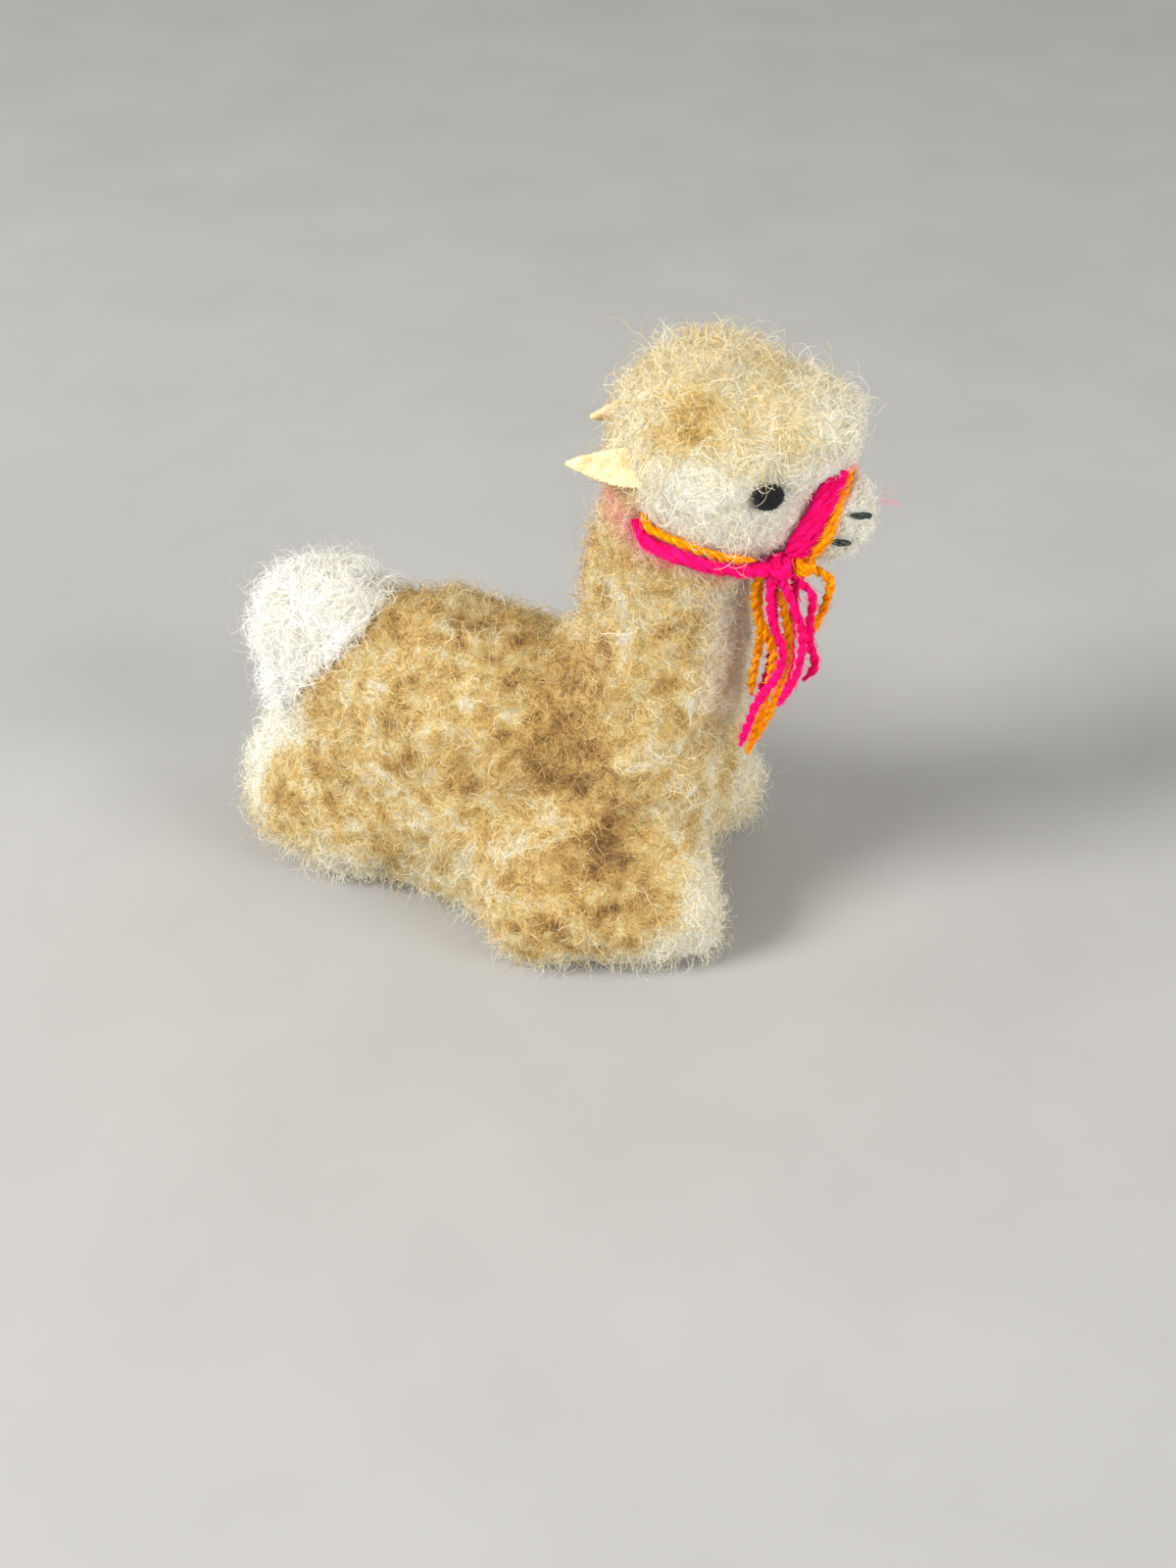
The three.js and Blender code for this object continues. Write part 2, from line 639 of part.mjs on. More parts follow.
// Leaves out the scraps of fleece that the seats cut loose where they meet.
const LARGEST_CRUMB = 0.5; // cubic millimetres
function withoutCrumbs(solid) {
  return wasm.Manifold.compose(solid.decompose().filter((piece) => piece.volume() > LARGEST_CRUMB));
}

const parts = new THREE.Group();
const material = (color, roughness) => new THREE.MeshStandardMaterial({ color, roughness, metalness: 0 });
const FLEECE = material(0xd3b483, 1);
const WHITE_FLEECE = material(0xe9e5da, 1);
const HIDE = material(0xe0cf9f, 0.7);
const FELT = material(0x0b0b0d, 1);
const THREAD = material(0x101511, 0.4);
const PINK_YARN = material(0xf5127e, 0.9);
const ORANGE_YARN = material(0xf08a0a, 0.9);

const colour = (name) => (name.includes("pink") ? PINK_YARN : ORANGE_YARN);

function add(name, solid, finish) {
  const mesh = new THREE.Mesh(toGeometry(solid), finish);
  mesh.name = name;
  parts.add(mesh);
}

// Everything that sits in the fleece: each piece as it is, and a swollen copy that cuts its seat.
const seated = [
  { name: "eye_right", make: (allowance) => eye(-1, allowance), finish: FELT },
  { name: "eye_left", make: (allowance) => eye(1, allowance), finish: FELT },
  { name: "ear_right", make: (allowance) => ear(-1, allowance), finish: HIDE },
  { name: "ear_left", make: (allowance) => ear(1, allowance), finish: HIDE },
  { name: "mouth_stitch_right", make: (allowance) => mouthStitch(-1, allowance), finish: THREAD },
  { name: "mouth_stitch_left", make: (allowance) => mouthStitch(1, allowance), finish: THREAD },
  { name: "chin_stitch", make: (allowance) => chinStitch(allowance), finish: THREAD },
];

const BODY_LOW = at(-66, -46, -13);
const BODY_HIGH = at(62, 46, 108);
const below = toSolid(new THREE.BoxGeometry(300, 300, 60).translate(0, 0, -30));
let body = toSolid(skinOf(fleeceBody, BODY_LOW, BODY_HIGH, FLEECE_CELL)).subtract(below);
for (const { name, make, finish } of seated) {
  add(name, make(0), finish);
  body = body.subtract(make(SEAT_GAP));
}

const knots = [
  { name: "halter_knot_pink", distance: pinkKnot, centre: KNOT_CENTRE, length: KNOT_LENGTH },
  { name: "halter_knot_orange", distance: orangeKnot, centre: SMALL_KNOT_CENTRE, length: SMALL_KNOT_LENGTH },
];
const knotSeats = knots.map((k) => knotSolid(k.distance, k.centre, k.length, SEAT_GAP));
knots.forEach((k, n) => {
  const plain = knotSolid(k.distance, k.centre, k.length, 0);
  add(k.name, n ? plain.subtract(knotSeats[0]) : plain, colour(k.name));
  body = body.subtract(knotSeats[n]);
});

// Each strand gives way to the knots and to the strands laid before it, and the fleece to every one of them.
const laid = [...knotSeats];
function lay(name, route, diameter) {
  add(name, laid.reduce((left, seat) => left.subtract(seat), strand(route, diameter)), colour(name));
  laid.push(strand(route, diameter, SEAT_GAP));
  body = body.subtract(laid.at(-1));
}
BANDS.forEach(({ name, route, diameter }) => lay(name, route, diameter));
TASSEL.forEach((hanging) => lay(hanging.name, tasselRoute(hanging), YARN_DIAMETER));
add("fleece_body", withoutCrumbs(body), FLEECE);

const raised = (p) => fleeceBody(p) - 2 * SEAT_GAP;
const roundBody = toSolid(skinOf(raised, BODY_LOW, BODY_HIGH, FLEECE_CELL));
const wholeTail = toSolid(skinOf(tailTuft, at(-58, -18, 18), at(-16, 18, 62), FLEECE_CELL));
add("tail_tuft", wholeTail.subtract(roundBody), WHITE_FLEECE);

export default parts;
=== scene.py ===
"""A small souvenir llama of curly fleece, lying with its legs under it, with a halter of knotted wool yarn.

Metres, +Z up, the llama looking along +X. Its right side, with the knot and the tassel, faces -Y.
"""

import math

import bpy
import numpy as np
from mathutils import Matrix, Vector
from mathutils.bvhtree import BVHTree
from mathutils.kdtree import KDTree


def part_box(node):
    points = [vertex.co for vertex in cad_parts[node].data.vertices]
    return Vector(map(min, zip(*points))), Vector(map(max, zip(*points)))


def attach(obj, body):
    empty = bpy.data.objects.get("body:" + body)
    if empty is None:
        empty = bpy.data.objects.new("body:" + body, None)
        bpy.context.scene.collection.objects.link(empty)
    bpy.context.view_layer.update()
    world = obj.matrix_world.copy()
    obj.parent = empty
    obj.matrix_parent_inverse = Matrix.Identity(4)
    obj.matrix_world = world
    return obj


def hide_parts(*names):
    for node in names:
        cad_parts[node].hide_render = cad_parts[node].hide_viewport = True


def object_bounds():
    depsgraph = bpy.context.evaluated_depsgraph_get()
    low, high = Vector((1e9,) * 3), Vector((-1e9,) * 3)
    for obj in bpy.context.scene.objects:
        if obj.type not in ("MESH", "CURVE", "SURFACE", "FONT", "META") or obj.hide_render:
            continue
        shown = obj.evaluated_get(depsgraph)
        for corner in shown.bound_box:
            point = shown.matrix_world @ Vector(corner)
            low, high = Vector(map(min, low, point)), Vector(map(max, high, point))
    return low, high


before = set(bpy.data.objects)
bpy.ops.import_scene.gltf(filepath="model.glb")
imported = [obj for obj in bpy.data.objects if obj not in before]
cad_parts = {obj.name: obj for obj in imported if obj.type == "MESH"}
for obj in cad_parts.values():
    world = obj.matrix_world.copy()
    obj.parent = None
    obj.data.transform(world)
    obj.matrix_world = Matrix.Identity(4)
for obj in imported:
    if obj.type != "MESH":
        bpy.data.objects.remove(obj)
cad_low, cad_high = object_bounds()

MM = 0.001


def lengths(vectors):
    return np.linalg.norm(vectors, axis=-1)


def unit(vectors):
    return vectors / np.maximum(lengths(vectors)[..., None], 1e-12)


def flattened(vectors, out):
    """The part of each vector that is square to out."""
    return vectors - (vectors * out).sum(axis=1, keepdims=True) * out


def around(angle, side, other):
    """Directions round a line, which start at side and turn towards other."""
    return np.cos(angle) * side + np.sin(angle) * other


def doubled_areas(corners):
    """The directions across triangles, as long as twice their area."""
    return np.cross(corners[:, 1] - corners[:, 0], corners[:, 2] - corners[:, 0])


def smoothstep(values, low, high):
    t = np.clip((values - low) / (high - low), 0, 1)
    return t * t * (3 - 2 * t)


def noise(places, size, seed):
    """Smooth values from about -1 to 1 in bumps as wide as size."""
    scaled = np.asarray(places) / size + seed * 17.31
    cell = np.floor(scaled).astype(np.int64)
    part = scaled - cell
    ease = part * part * (3 - 2 * part)
    total = np.zeros(scaled.shape[:-1])
    for corner in np.ndindex(2, 2, 2):
        at = cell + np.array(corner)
        mixed = (at[..., 0] * 73856093) ^ (at[..., 1] * 19349663) ^ (at[..., 2] * 83492791)
        mixed = ((mixed ^ (mixed >> 13)) * 1274126177) & 0xFFFFFFFF
        value = ((mixed ^ (mixed >> 15)) & 0xFFFF) / 32767.5 - 1
        total += value * np.prod(np.where(np.array(corner) == 1, ease, 1 - ease), axis=-1)
    return total


def noise_vector(places, size, seed):
    return np.stack([noise(places, size, seed + k * 5) for k in range(3)], axis=-1)


def layered(places, layers):
    """Noise in layers, each with its strength, the size of its bumps and its seed."""
    return sum(strength * noise(places, size, seed) for strength, size, seed in layers)


# Camera, at the photograph's angle. The photograph is 1200 by 1600 pixels.
PHOTO_WIDE = 1200
PHOTO_HIGH = 1600
FOCAL_PIXELS = 2400
ORIGIN_COLUMN = 550
ORIGIN_ROW = 874
CAMERA_PITCH = 35
CAMERA_AZIMUTH = 13
CAMERA_DISTANCE = 434 * MM
SENSOR = 36


def placed(name, data):
    """A new object in the scene."""
    made = bpy.data.objects.new(name, data)
    bpy.context.scene.collection.objects.link(made)
    return made


def make_camera():
    pitch = math.radians(CAMERA_PITCH)
    turn = math.radians(CAMERA_AZIMUTH)
    back = Vector((math.sin(turn) * math.cos(pitch), -math.cos(turn) * math.cos(pitch), math.sin(pitch)))
    right = Vector((math.cos(turn), math.sin(turn), 0))
    up = back.cross(right)
    column = (ORIGIN_COLUMN - PHOTO_WIDE / 2) / FOCAL_PIXELS
    row = (ORIGIN_ROW - PHOTO_HIGH / 2) / FOCAL_PIXELS
    data = bpy.data.cameras.new("camera")
    data.sensor_width = SENSOR
    data.lens = FOCAL_PIXELS * SENSOR / PHOTO_HIGH
    data.clip_start = 0.01
    data.clip_end = 50
    camera = placed("camera", data)
    camera.location = CAMERA_DISTANCE * (back - column * right + row * up)
    camera.rotation_mode = "QUATERNION"
    camera.rotation_quaternion = Matrix((right, up, back)).transposed().to_quaternion()
    bpy.context.scene.camera = camera


make_camera()


# Meshes


def new_piece(name, mesh, finish, replaced=()):
    """A piece of the llama. Its finish is a material and the name of a slot for it, which is not used."""
    material, slot = finish
    piece = placed(name, mesh)
    mesh.materials.clear()
    mesh.materials.append(material)
    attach(piece, "root")
    if replaced:
        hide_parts(*replaced)
    return piece


def write_values(items, name, values, kind=np.float32):
    items.foreach_set(name, np.ascontiguousarray(values, kind).ravel())


def read_values(items, name, width, kind=np.float32):
    """The named values of all items, one row of the given width for each."""
    found = np.empty(len(items) * width, kind)
    items.foreach_get(name, found)
    return found.reshape(-1, width)


def quad_mesh(name, vertices, quads, normals):
    mesh = bpy.data.meshes.new(name)
    mesh.vertices.add(len(vertices))
    write_values(mesh.vertices, "co", vertices)
    mesh.loops.add(quads.size)
    write_values(mesh.loops, "vertex_index", quads, np.int32)
    mesh.polygons.add(len(quads))
    write_values(mesh.polygons, "loop_start", np.arange(0, quads.size, 4), np.int32)
    mesh.update(calc_edges=True)
    write_values(mesh.polygons, "use_smooth", np.ones(len(quads)), bool)
    mesh.normals_split_custom_set_from_vertices(unit(normals).astype(np.float32).tolist())
    return mesh


def add_value(mesh, name, values):
    write_values(mesh.attributes.new(name, "FLOAT", "POINT").data, "value", values)


def points_of(mesh):
    return read_values(mesh.vertices, "co", 3).astype(float)


def normals_of(mesh):
    return read_values(mesh.vertex_normals, "vector", 3).astype(float)


def set_points(mesh, points):
    write_values(mesh.vertices, "co", points)
    mesh.update()


def corners_of(mesh):
    """The vertex numbers of each triangle's corners."""
    mesh.calc_loop_triangles()
    return read_values(mesh.loop_triangles, "vertices", 3, np.int32)


def triangles_of(node):
    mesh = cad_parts[node].data
    return points_of(mesh)[corners_of(mesh)]


def tree_of(node):
    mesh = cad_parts[node].data
    return BVHTree.FromPolygons(points_of(mesh).tolist(), corners_of(mesh).tolist())


RELAXED = 0.6  # how far each round of smoothing moves a point towards its neighbours' middle


def remeshed(node, cell, rounds):
    """An even, smoothed copy of a CAD node's mesh, with cells of about the given size."""
    copy = placed("copy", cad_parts[node].data.copy())
    modifier = copy.modifiers.new("even", "REMESH")
    modifier.mode = "VOXEL"
    modifier.voxel_size = cell
    modifier.use_smooth_shade = True
    view = bpy.context.evaluated_depsgraph_get()
    mesh = bpy.data.meshes.new_from_object(copy.evaluated_get(view))
    bpy.data.objects.remove(copy)
    ends = read_values(mesh.edges, "vertices", 2, np.int32)
    points = points_of(mesh)
    count = np.bincount(ends.ravel(), minlength=len(points))[:, None]
    for _ in range(rounds):
        total = np.zeros_like(points)
        np.add.at(total, ends[:, 0], points[ends[:, 1]])
        np.add.at(total, ends[:, 1], points[ends[:, 0]])
        points += RELAXED * (total / count - points)
    set_points(mesh, points)
    return mesh


# Colour of the fleece, as one tone: 0 is white, 0.2 cream, 0.5 golden, 0.8 brown and 1 dark brown. Each patch
# is its middle in millimetres, its radius and its tone. The left side has the same patches.
PATCHES = [
    ((-31, -16, 36), 8, 0.5),
    ((-43, -15, 22), 5, 0.5),
    ((-36, -20, 17), 8, 0.48),
    ((-24, -15, 43), 7, 0.48),
    ((-15, -6, 52), 9, 0.55),
    ((-3, -14, 45), 6, 0.5),
    ((5, -13, 42), 6, 0.66),
    ((11, -15, 40), 5, 0.72),
    ((6, -17, 33), 6, 0.76),
    ((16, -24, 21), 4, 0.95),
    ((11, -35, 12), 7, 0.56),
    ((20, -31, 16), 7, 0.62),
    ((28, -30, 12), 5, 0.46),
    ((19, -15, 50), 6, 0.6),
    ((29, -13, 38), 8, 0.38),
    ((20, -19, 37), 6, 0.57),
    ((22, -15, 66), 7, 0.42),
    ((28, -14, 61), 4, 0.62),
    ((27, -13, 98), 5, 0.6),
    ((33, -3, 105), 10, 0.28),
    ((18, -8, 97), 8, 0.25),
    ((41, -9, 99), 8, 0.28),
    ((51, -4, 98), 6, 0.1),
    ((31, -17, 85), 8, 0.02),
    ((44, -11, 80), 8, 0),
    ((55, -2, 81), 8, -0.35),
    ((-13, -20, 35), 7, 0.5),
    ((0, -21, 24), 6, 0.46),
    ((-9, -15, 46), 4, 0.42),
    ((21, -14, 57), 4, 0.3),
    ((-51, -8, 24), 8, -0.1),
    ((-38, -20, 3), 9, 0.12),
    ((-10, -24, 4), 8, 0.34),
    ((1, -28, 8), 6, 0.45),
    ((39, -23, 9), 8, 0.12),
    ((33, -27, 1), 7, 0.05),
    ((37, -11, 10), 8, 0.22),
    ((36, -5, 46), 7, 0.18),
    ((36, -7, 61), 6, 0.08),
    ((15, -34, 2), 6, 0.3),
    ((-42, 0, 34), 9, 0.1),
]
PLAIN_TONE = 0.5
PLAIN_SHARE = 0.02
MOTTLE = [(0.12, 4.6, 11), (0.22, 2.3, 12), (0.26, 1.3, 13)]
HEAD_HEIGHTS = (70, 84)
RIM_HEIGHTS = (1.5, 6.0)


def on_the_right(places):
    """The places in millimetres, with those on the left mirrored to the right side."""
    spots = places / MM
    spots[:, 1] = -np.abs(spots[:, 1])
    return spots


def tone_at(places):
    """The fleece's tone. The head has less mottle, and the rim on the ground is pale."""
    spots = places / MM
    moved = on_the_right(places) + 2.2 * noise_vector(spots, 7, 3)
    total = np.full(len(spots), PLAIN_SHARE)
    tone = total * PLAIN_TONE
    for centre, radius, value in PATCHES:
        away = lengths(moved - np.array(centre)) / radius
        weight = np.exp(-1.6 * away**2) + 0.03 / (1 + away**4)
        total += weight
        tone += weight * value
    tone /= total
    mottle = layered(spots, MOTTLE)
    mottle *= 1 - 0.55 * smoothstep(spots[:, 2], *HEAD_HEIGHTS)
    rim = smoothstep(spots[:, 2], *RIM_HEIGHTS)
    return np.clip((tone + mottle * smoothstep(tone, 0.05, 0.5)) * (0.15 + 0.85 * rim), -0.3, 1.1)


# Materials


class Nodes:
    def __init__(self, name):
        self.material = bpy.data.materials.new(name)
        self.material.use_nodes = True
        self.tree = self.material.node_tree
        self.shader = self.tree.nodes["Principled BSDF"]
        self.places = self.made("ShaderNodeTexCoord", "Object", {})

    def put(self, node, name, value):
        if isinstance(value, bpy.types.NodeSocket):
            self.tree.links.new(value, node.inputs[name])
        else:
            node.inputs[name].default_value = value

    def made(self, kind, output, inputs, **settings):
        """The named output of a new node with these inputs and settings."""
        node = self.tree.nodes.new(kind)
        for name, value in settings.items():
            setattr(node, name, value)
        for name, value in inputs.items():
            self.put(node, name, value)
        return node.outputs[output]

    def noise(self, size, detail=2.0, distortion=0.0):
        inputs = {"Vector": self.places, "Scale": 1 / size, "Detail": detail, "Distortion": distortion}
        return self.made("ShaderNodeTexNoise", "Fac", inputs)

    def math(self, operation, *values):
        return self.made("ShaderNodeMath", 0, dict(enumerate(values)), operation=operation)

    def curls(self, size):
        """Thin curly lines, about as far apart as size."""
        middle = self.math("SUBTRACT", self.noise(size, 1.0, 2.5), 0.5)
        return self.spread(self.math("ABSOLUTE", middle), 0.0, 0.09, 1.0, 0.0)

    def spread(self, value, low, high, to_low=0.0, to_high=1.0):
        inputs = {"Value": value, "From Min": low, "From Max": high, "To Min": to_low, "To Max": to_high}
        return self.made("ShaderNodeMapRange", "Result", inputs)

    def value(self, name):
        return self.made("ShaderNodeAttribute", "Fac", {}, attribute_name=name)

    def mix(self, share, first, second, blend="MIX"):
        inputs = {0: share, 6: first, 7: second}
        return self.made("ShaderNodeMix", 2, inputs, data_type="RGBA", blend_type=blend)

    def shaded(self, base, share):
        """The base colour, darkened to a share of itself."""
        grey = self.made("ShaderNodeCombineColor", 0, {k: share for k in range(3)})
        return self.mix(1.0, base, grey, "MULTIPLY")

    def ramp(self, value, stops):
        shown = self.made("ShaderNodeValToRGB", "Color", {"Fac": value})
        elements = shown.node.color_ramp.elements
        while len(elements) < len(stops):
            elements.new(0.5)
        for element, (place, colour) in zip(elements, stops):
            element.position = place
            element.color = colour
        return shown

    def bump(self, height, distance, strength=1.0):
        inputs = {"Distance": distance, "Strength": strength, "Height": height}
        self.put(self.shader, "Normal", self.made("ShaderNodeBump", "Normal", inputs))

    def let_light_through(self, base, share):
        """Gives the material a share of light that comes through it from behind."""
        through = self.made("ShaderNodeBsdfTranslucent", 0, {"Color": base})
        both = self.made("ShaderNodeMixShader", 0, {0: share, 1: self.shader.outputs[0], 2: through})
        self.put(self.tree.nodes["Material Output"], "Surface", both)

    def finished(self, base, roughness, shine, **more):
        """The material, with these values of its shader."""
        values = {"Base_Color": base, "Roughness": roughness, "Specular_IOR_Level": shine, **more}
        for name, value in values.items():
            self.put(self.shader, name.replace("_", " "), value)
        return self.material


def colour(red, green, blue):
    """A colour given by its usual screen values from 0 to 255."""
    made = []
    for value in (red, green, blue):
        share = value / 255
        made.append(share / 12.92 if share <= 0.04045 else ((share + 0.055) / 1.055) ** 2.4)
    return (*made, 1.0)


FLEECE_STOPS = [
    (0.0, colour(250, 248, 236)),
    (0.2, colour(246, 237, 207)),
    (0.42, colour(241, 215, 148)),
    (0.62, colour(228, 188, 110)),
    (0.82, colour(190, 147, 82)),
    (1.0, colour(134, 96, 48)),
]
WHITE_STOPS = [(0.0, colour(253, 253, 252)), (0.5, colour(250, 249, 241)), (1.0, colour(242, 234, 212))]
BLUSH = colour(240, 150, 170)
# How much painted shade darkens the fleece at its roots and in the skin's hollows, where its tone is 0 and
# where it is 1
FLEECE_ROOT_SHADE = (0.12, 0.46)
WHITE_ROOT_SHADE = (0.06, 0.2)


def fleece_material(name, white=False, felted=False):
    """Curly fleece: the tone and the blush come from the mesh, and fine noise varies them. Painted shade
    darkens it at the fibres' roots and in the skin's hollows. Felted is the dense fleece under the curls."""
    nodes = Nodes(name)
    fine = nodes.spread(nodes.noise(0.5 * MM, 3), 0.3, 0.7, -0.14, 0.14)
    tone = nodes.math("ADD", nodes.value("tone"), fine)
    base = nodes.ramp(tone, WHITE_STOPS if white else FLEECE_STOPS)
    base = nodes.mix(nodes.value("blush"), base, BLUSH)
    # Painted shade: darker where the tip value is low, at the fibres' roots and in the skin's hollows
    shadow = nodes.spread(tone, 0, 1, *(WHITE_ROOT_SHADE if white else FLEECE_ROOT_SHADE))
    deep = nodes.math("MULTIPLY", nodes.math("SUBTRACT", 1.0, nodes.value("tip")), shadow)
    base = nodes.shaded(base, nodes.math("SUBTRACT", 1.0, deep))
    if felted:
        lines = nodes.math("MAXIMUM", nodes.curls(0.8 * MM), nodes.curls(0.55 * MM))
        nodes.bump(lines, 0.25 * MM, 0.8)
        # Painted shade: darker between the raised curly lines, with a slight painted highlight on them
        base = nodes.shaded(base, nodes.spread(lines, 0.0, 1.0, 0.8, 1.02))
    else:
        nodes.let_light_through(base, 0.38)
    return nodes.finished(base, 0.85, 0.2, Sheen_Weight=0.15, Sheen_Roughness=0.5)


def yarn_material(name, deep, bright):
    nodes = Nodes(name)
    soft = nodes.noise(0.8 * MM, 3)
    base = nodes.mix(nodes.spread(soft, 0.3, 0.7), deep, bright)
    # Painted shade: darker where the tip value is low, on the plies and at the roots of the fibres round them
    base = nodes.shaded(base, nodes.spread(nodes.value("tip"), 0.0, 1.0, 0.5, 1.0))
    nodes.bump(nodes.noise(0.22 * MM, 3), 0.12 * MM, 0.6)
    nodes.let_light_through(base, 0.2)
    return nodes.finished(base, 0.8, 0.06, Sheen_Weight=0.03, Sheen_Roughness=0.4)


def hide_material():
    nodes = Nodes("hide")
    patch = nodes.spread(nodes.noise(3.0 * MM, 3), 0.35, 0.7)
    base = nodes.mix(patch, colour(238, 222, 178), colour(206, 178, 126))
    speck = nodes.spread(nodes.noise(0.6 * MM, 3), 0.5, 0.7, 0, 0.6)
    base = nodes.mix(speck, base, colour(196, 160, 112))
    nodes.bump(nodes.noise(0.35 * MM, 4), 0.15 * MM, 0.7)
    return nodes.finished(base, 0.6, 0.35)


def felt_material():
    nodes = Nodes("felt")
    base = nodes.mix(nodes.noise(0.4 * MM, 3), colour(8, 8, 9), colour(26, 26, 28))
    nodes.bump(nodes.noise(0.2 * MM, 4), 0.15 * MM, 0.8)
    return nodes.finished(base, 0.9, 0.2, Sheen_Weight=0.1)


def thread_material():
    nodes = Nodes("thread")
    base = nodes.mix(nodes.noise(0.5 * MM, 2), colour(10, 14, 12), colour(34, 52, 44))
    nodes.bump(nodes.noise(0.12 * MM, 3), 0.05 * MM, 0.5)
    return nodes.finished(base, 0.38, 0.5)


FLEECE = fleece_material("fleece"), "fleece"
WHITE_FLEECE = fleece_material("white_fleece", white=True), "white_fleece"
FELTED = fleece_material("fleece_felted", felted=True), "fleece"
WHITE_FELTED = fleece_material("white_fleece_felted", white=True, felted=True), "white_fleece"
HIDE = hide_material(), "hide"
FELT = felt_material(), "felt"
THREAD = thread_material(), "thread"
YARN = {
    "pink": (yarn_material("pink_yarn", colour(250, 4, 100), colour(255, 26, 146)), "pink_yarn"),
    "orange": (yarn_material("orange_yarn", colour(250, 140, 0), colour(255, 192, 18)), "orange_yarn"),
}


# Lines and strips


def rounded(route):
    """A smooth line through the route's points, which keeps its turns tight where they lie close."""
    points = np.vstack([2 * route[0] - route[1], route, 2 * route[-1] - route[-2]])
    line = []
    for before, start, end, after in zip(points, points[1:], points[2:], points[3:]):
        came, went, left = start - before, end - start, after - end
        first, middle, last = (math.sqrt(np.linalg.norm(step)) for step in (came, went, left))
        leave = middle * (came / first - (end - before) / (first + middle) + went / middle)
        arrive = middle * (went / middle - (after - start) / (middle + last) + left / last)
        t = np.arange(0, 1, 0.05)[:, None]
        cubic = 2 * (start - end) + leave + arrive
        square = 3 * went - 2 * leave - arrive
        line.append(((cubic * t + square) * t + leave) * t + start)
    line.append(route[-1:])
    return np.vstack(line)


def resampled(line, step):
    along = np.concatenate([[0], np.cumsum(lengths(np.diff(line, axis=0)))])
    count = max(4, int(round(along[-1] / step)) + 1)
    spots = np.linspace(0, along[-1], count)
    return np.stack([np.interp(spots, along, line[:, k]) for k in range(3)], axis=1)


def smoothed(line, rounds):
    line = line.copy()
    for _ in range(rounds):
        line[1:-1] = 0.25 * line[:-2] + 0.5 * line[1:-1] + 0.25 * line[2:]
    return line


def length_of(line):
    return float(lengths(np.diff(line, axis=0)).sum())


def sides_of(line):
    """Two directions across a line, all along it, which don't twist round it."""
    along = unit(np.gradient(line, axis=0))
    side = np.empty_like(line)
    side[0] = unit(np.cross(along[0], np.array([0.31, 0.73, 0.61])))
    for k in range(1, len(line)):
        side[k] = unit(side[k - 1] - (side[k - 1] @ along[k]) * along[k])
    return side, np.cross(along, side)


def curled(roots, start, bend, length, wave, turns, steps, rng, arch=(1.2, 3.8)):
    """Fibres that leave roots along start, arch over towards bend and wave. Length, wave and turns are one
    value per fibre, and arch is the least and the most that they turn over, in radians."""
    t = np.linspace(0, 1, steps + 1)[None, :, None]
    count = len(roots)
    start = unit(start)
    over = unit(flattened(bend, start))
    turned = rng.uniform(*arch, count)[:, None, None]
    spine = (np.sin(turned * t) * start[:, None] + (1 - np.cos(turned * t)) * over[:, None]) / turned
    side = np.cross(start, over)
    phase = rng.uniform(0, 2 * math.pi, count)[:, None, None]
    angle = phase + 2 * math.pi * turns[:, None, None] * t
    swing = np.cos(angle) * side[:, None] + 0.6 * np.sin(angle) * start[:, None]
    swing -= swing[:, :1]
    grow = np.minimum(1, 0.35 + t)
    return roots[:, None] + length[:, None, None] * spine + wave[:, None, None] * grow * swing


class Parts:
    """Quads that are gathered into one mesh, each strip or tube with its own place in the map."""

    def __init__(self):
        self.added = []
        self.count = 0

    def add(self, vertices, normals, quads, corners, *values):
        """Values are the tip, which lifts painted shade towards 1, the tone and the blush, each one number or
        one per vertex.
        """
        values = [np.broadcast_to(value, len(vertices)) for value in values]
        self.added.append((vertices, normals, quads + self.count, corners, *values))
        self.count += len(vertices)

    def mesh(self, name):
        vertices, normals, quads, corners, *values = map(np.concatenate, zip(*self.added))
        mesh = quad_mesh(name, vertices, quads, normals)
        for value_name, value in zip(("tip", "tone", "blush"), values):
            add_value(mesh, value_name, value)
        chart = mesh.uv_layers.new(name="OFBake")
        write_values(chart.data, "uv", corners)
        return mesh


def cell_corners(left, right, bottom, top):
    """The corners of the quads in the map, in the order of their vertices."""
    left, right, bottom, top = np.broadcast_arrays(left, right, bottom, top)
    across = np.stack([left, right, right, left], axis=-1)
    rise = np.stack([bottom, bottom, top, top], axis=-1)
    return np.stack([across, rise], axis=-1).reshape(-1, 2)


MAP_SIDE = 0.2  # the free share of a strip's cell in the map, on each side and at each end
MAP_END = 0.08


def strip_map(count, steps, low, high):
    """A cell of the map for each of count strips, between the heights low and high."""
    columns = max(1, math.ceil(math.sqrt(count * 3)))
    rows = max(1, math.ceil(count / columns))
    row, column = np.divmod(np.arange(count), columns)
    left = (column + MAP_SIDE) / columns
    right = (column + 1 - MAP_SIDE) / columns
    bottom = low + (high - low) * (row + MAP_END) / rows
    top = low + (high - low) * (row + 1 - MAP_END) / rows
    rise = bottom[:, None] + (top - bottom)[:, None] * np.linspace(0, 1, steps + 1)
    return cell_corners(left[:, None], right[:, None], rise[:, :-1], rise[:, 1:])


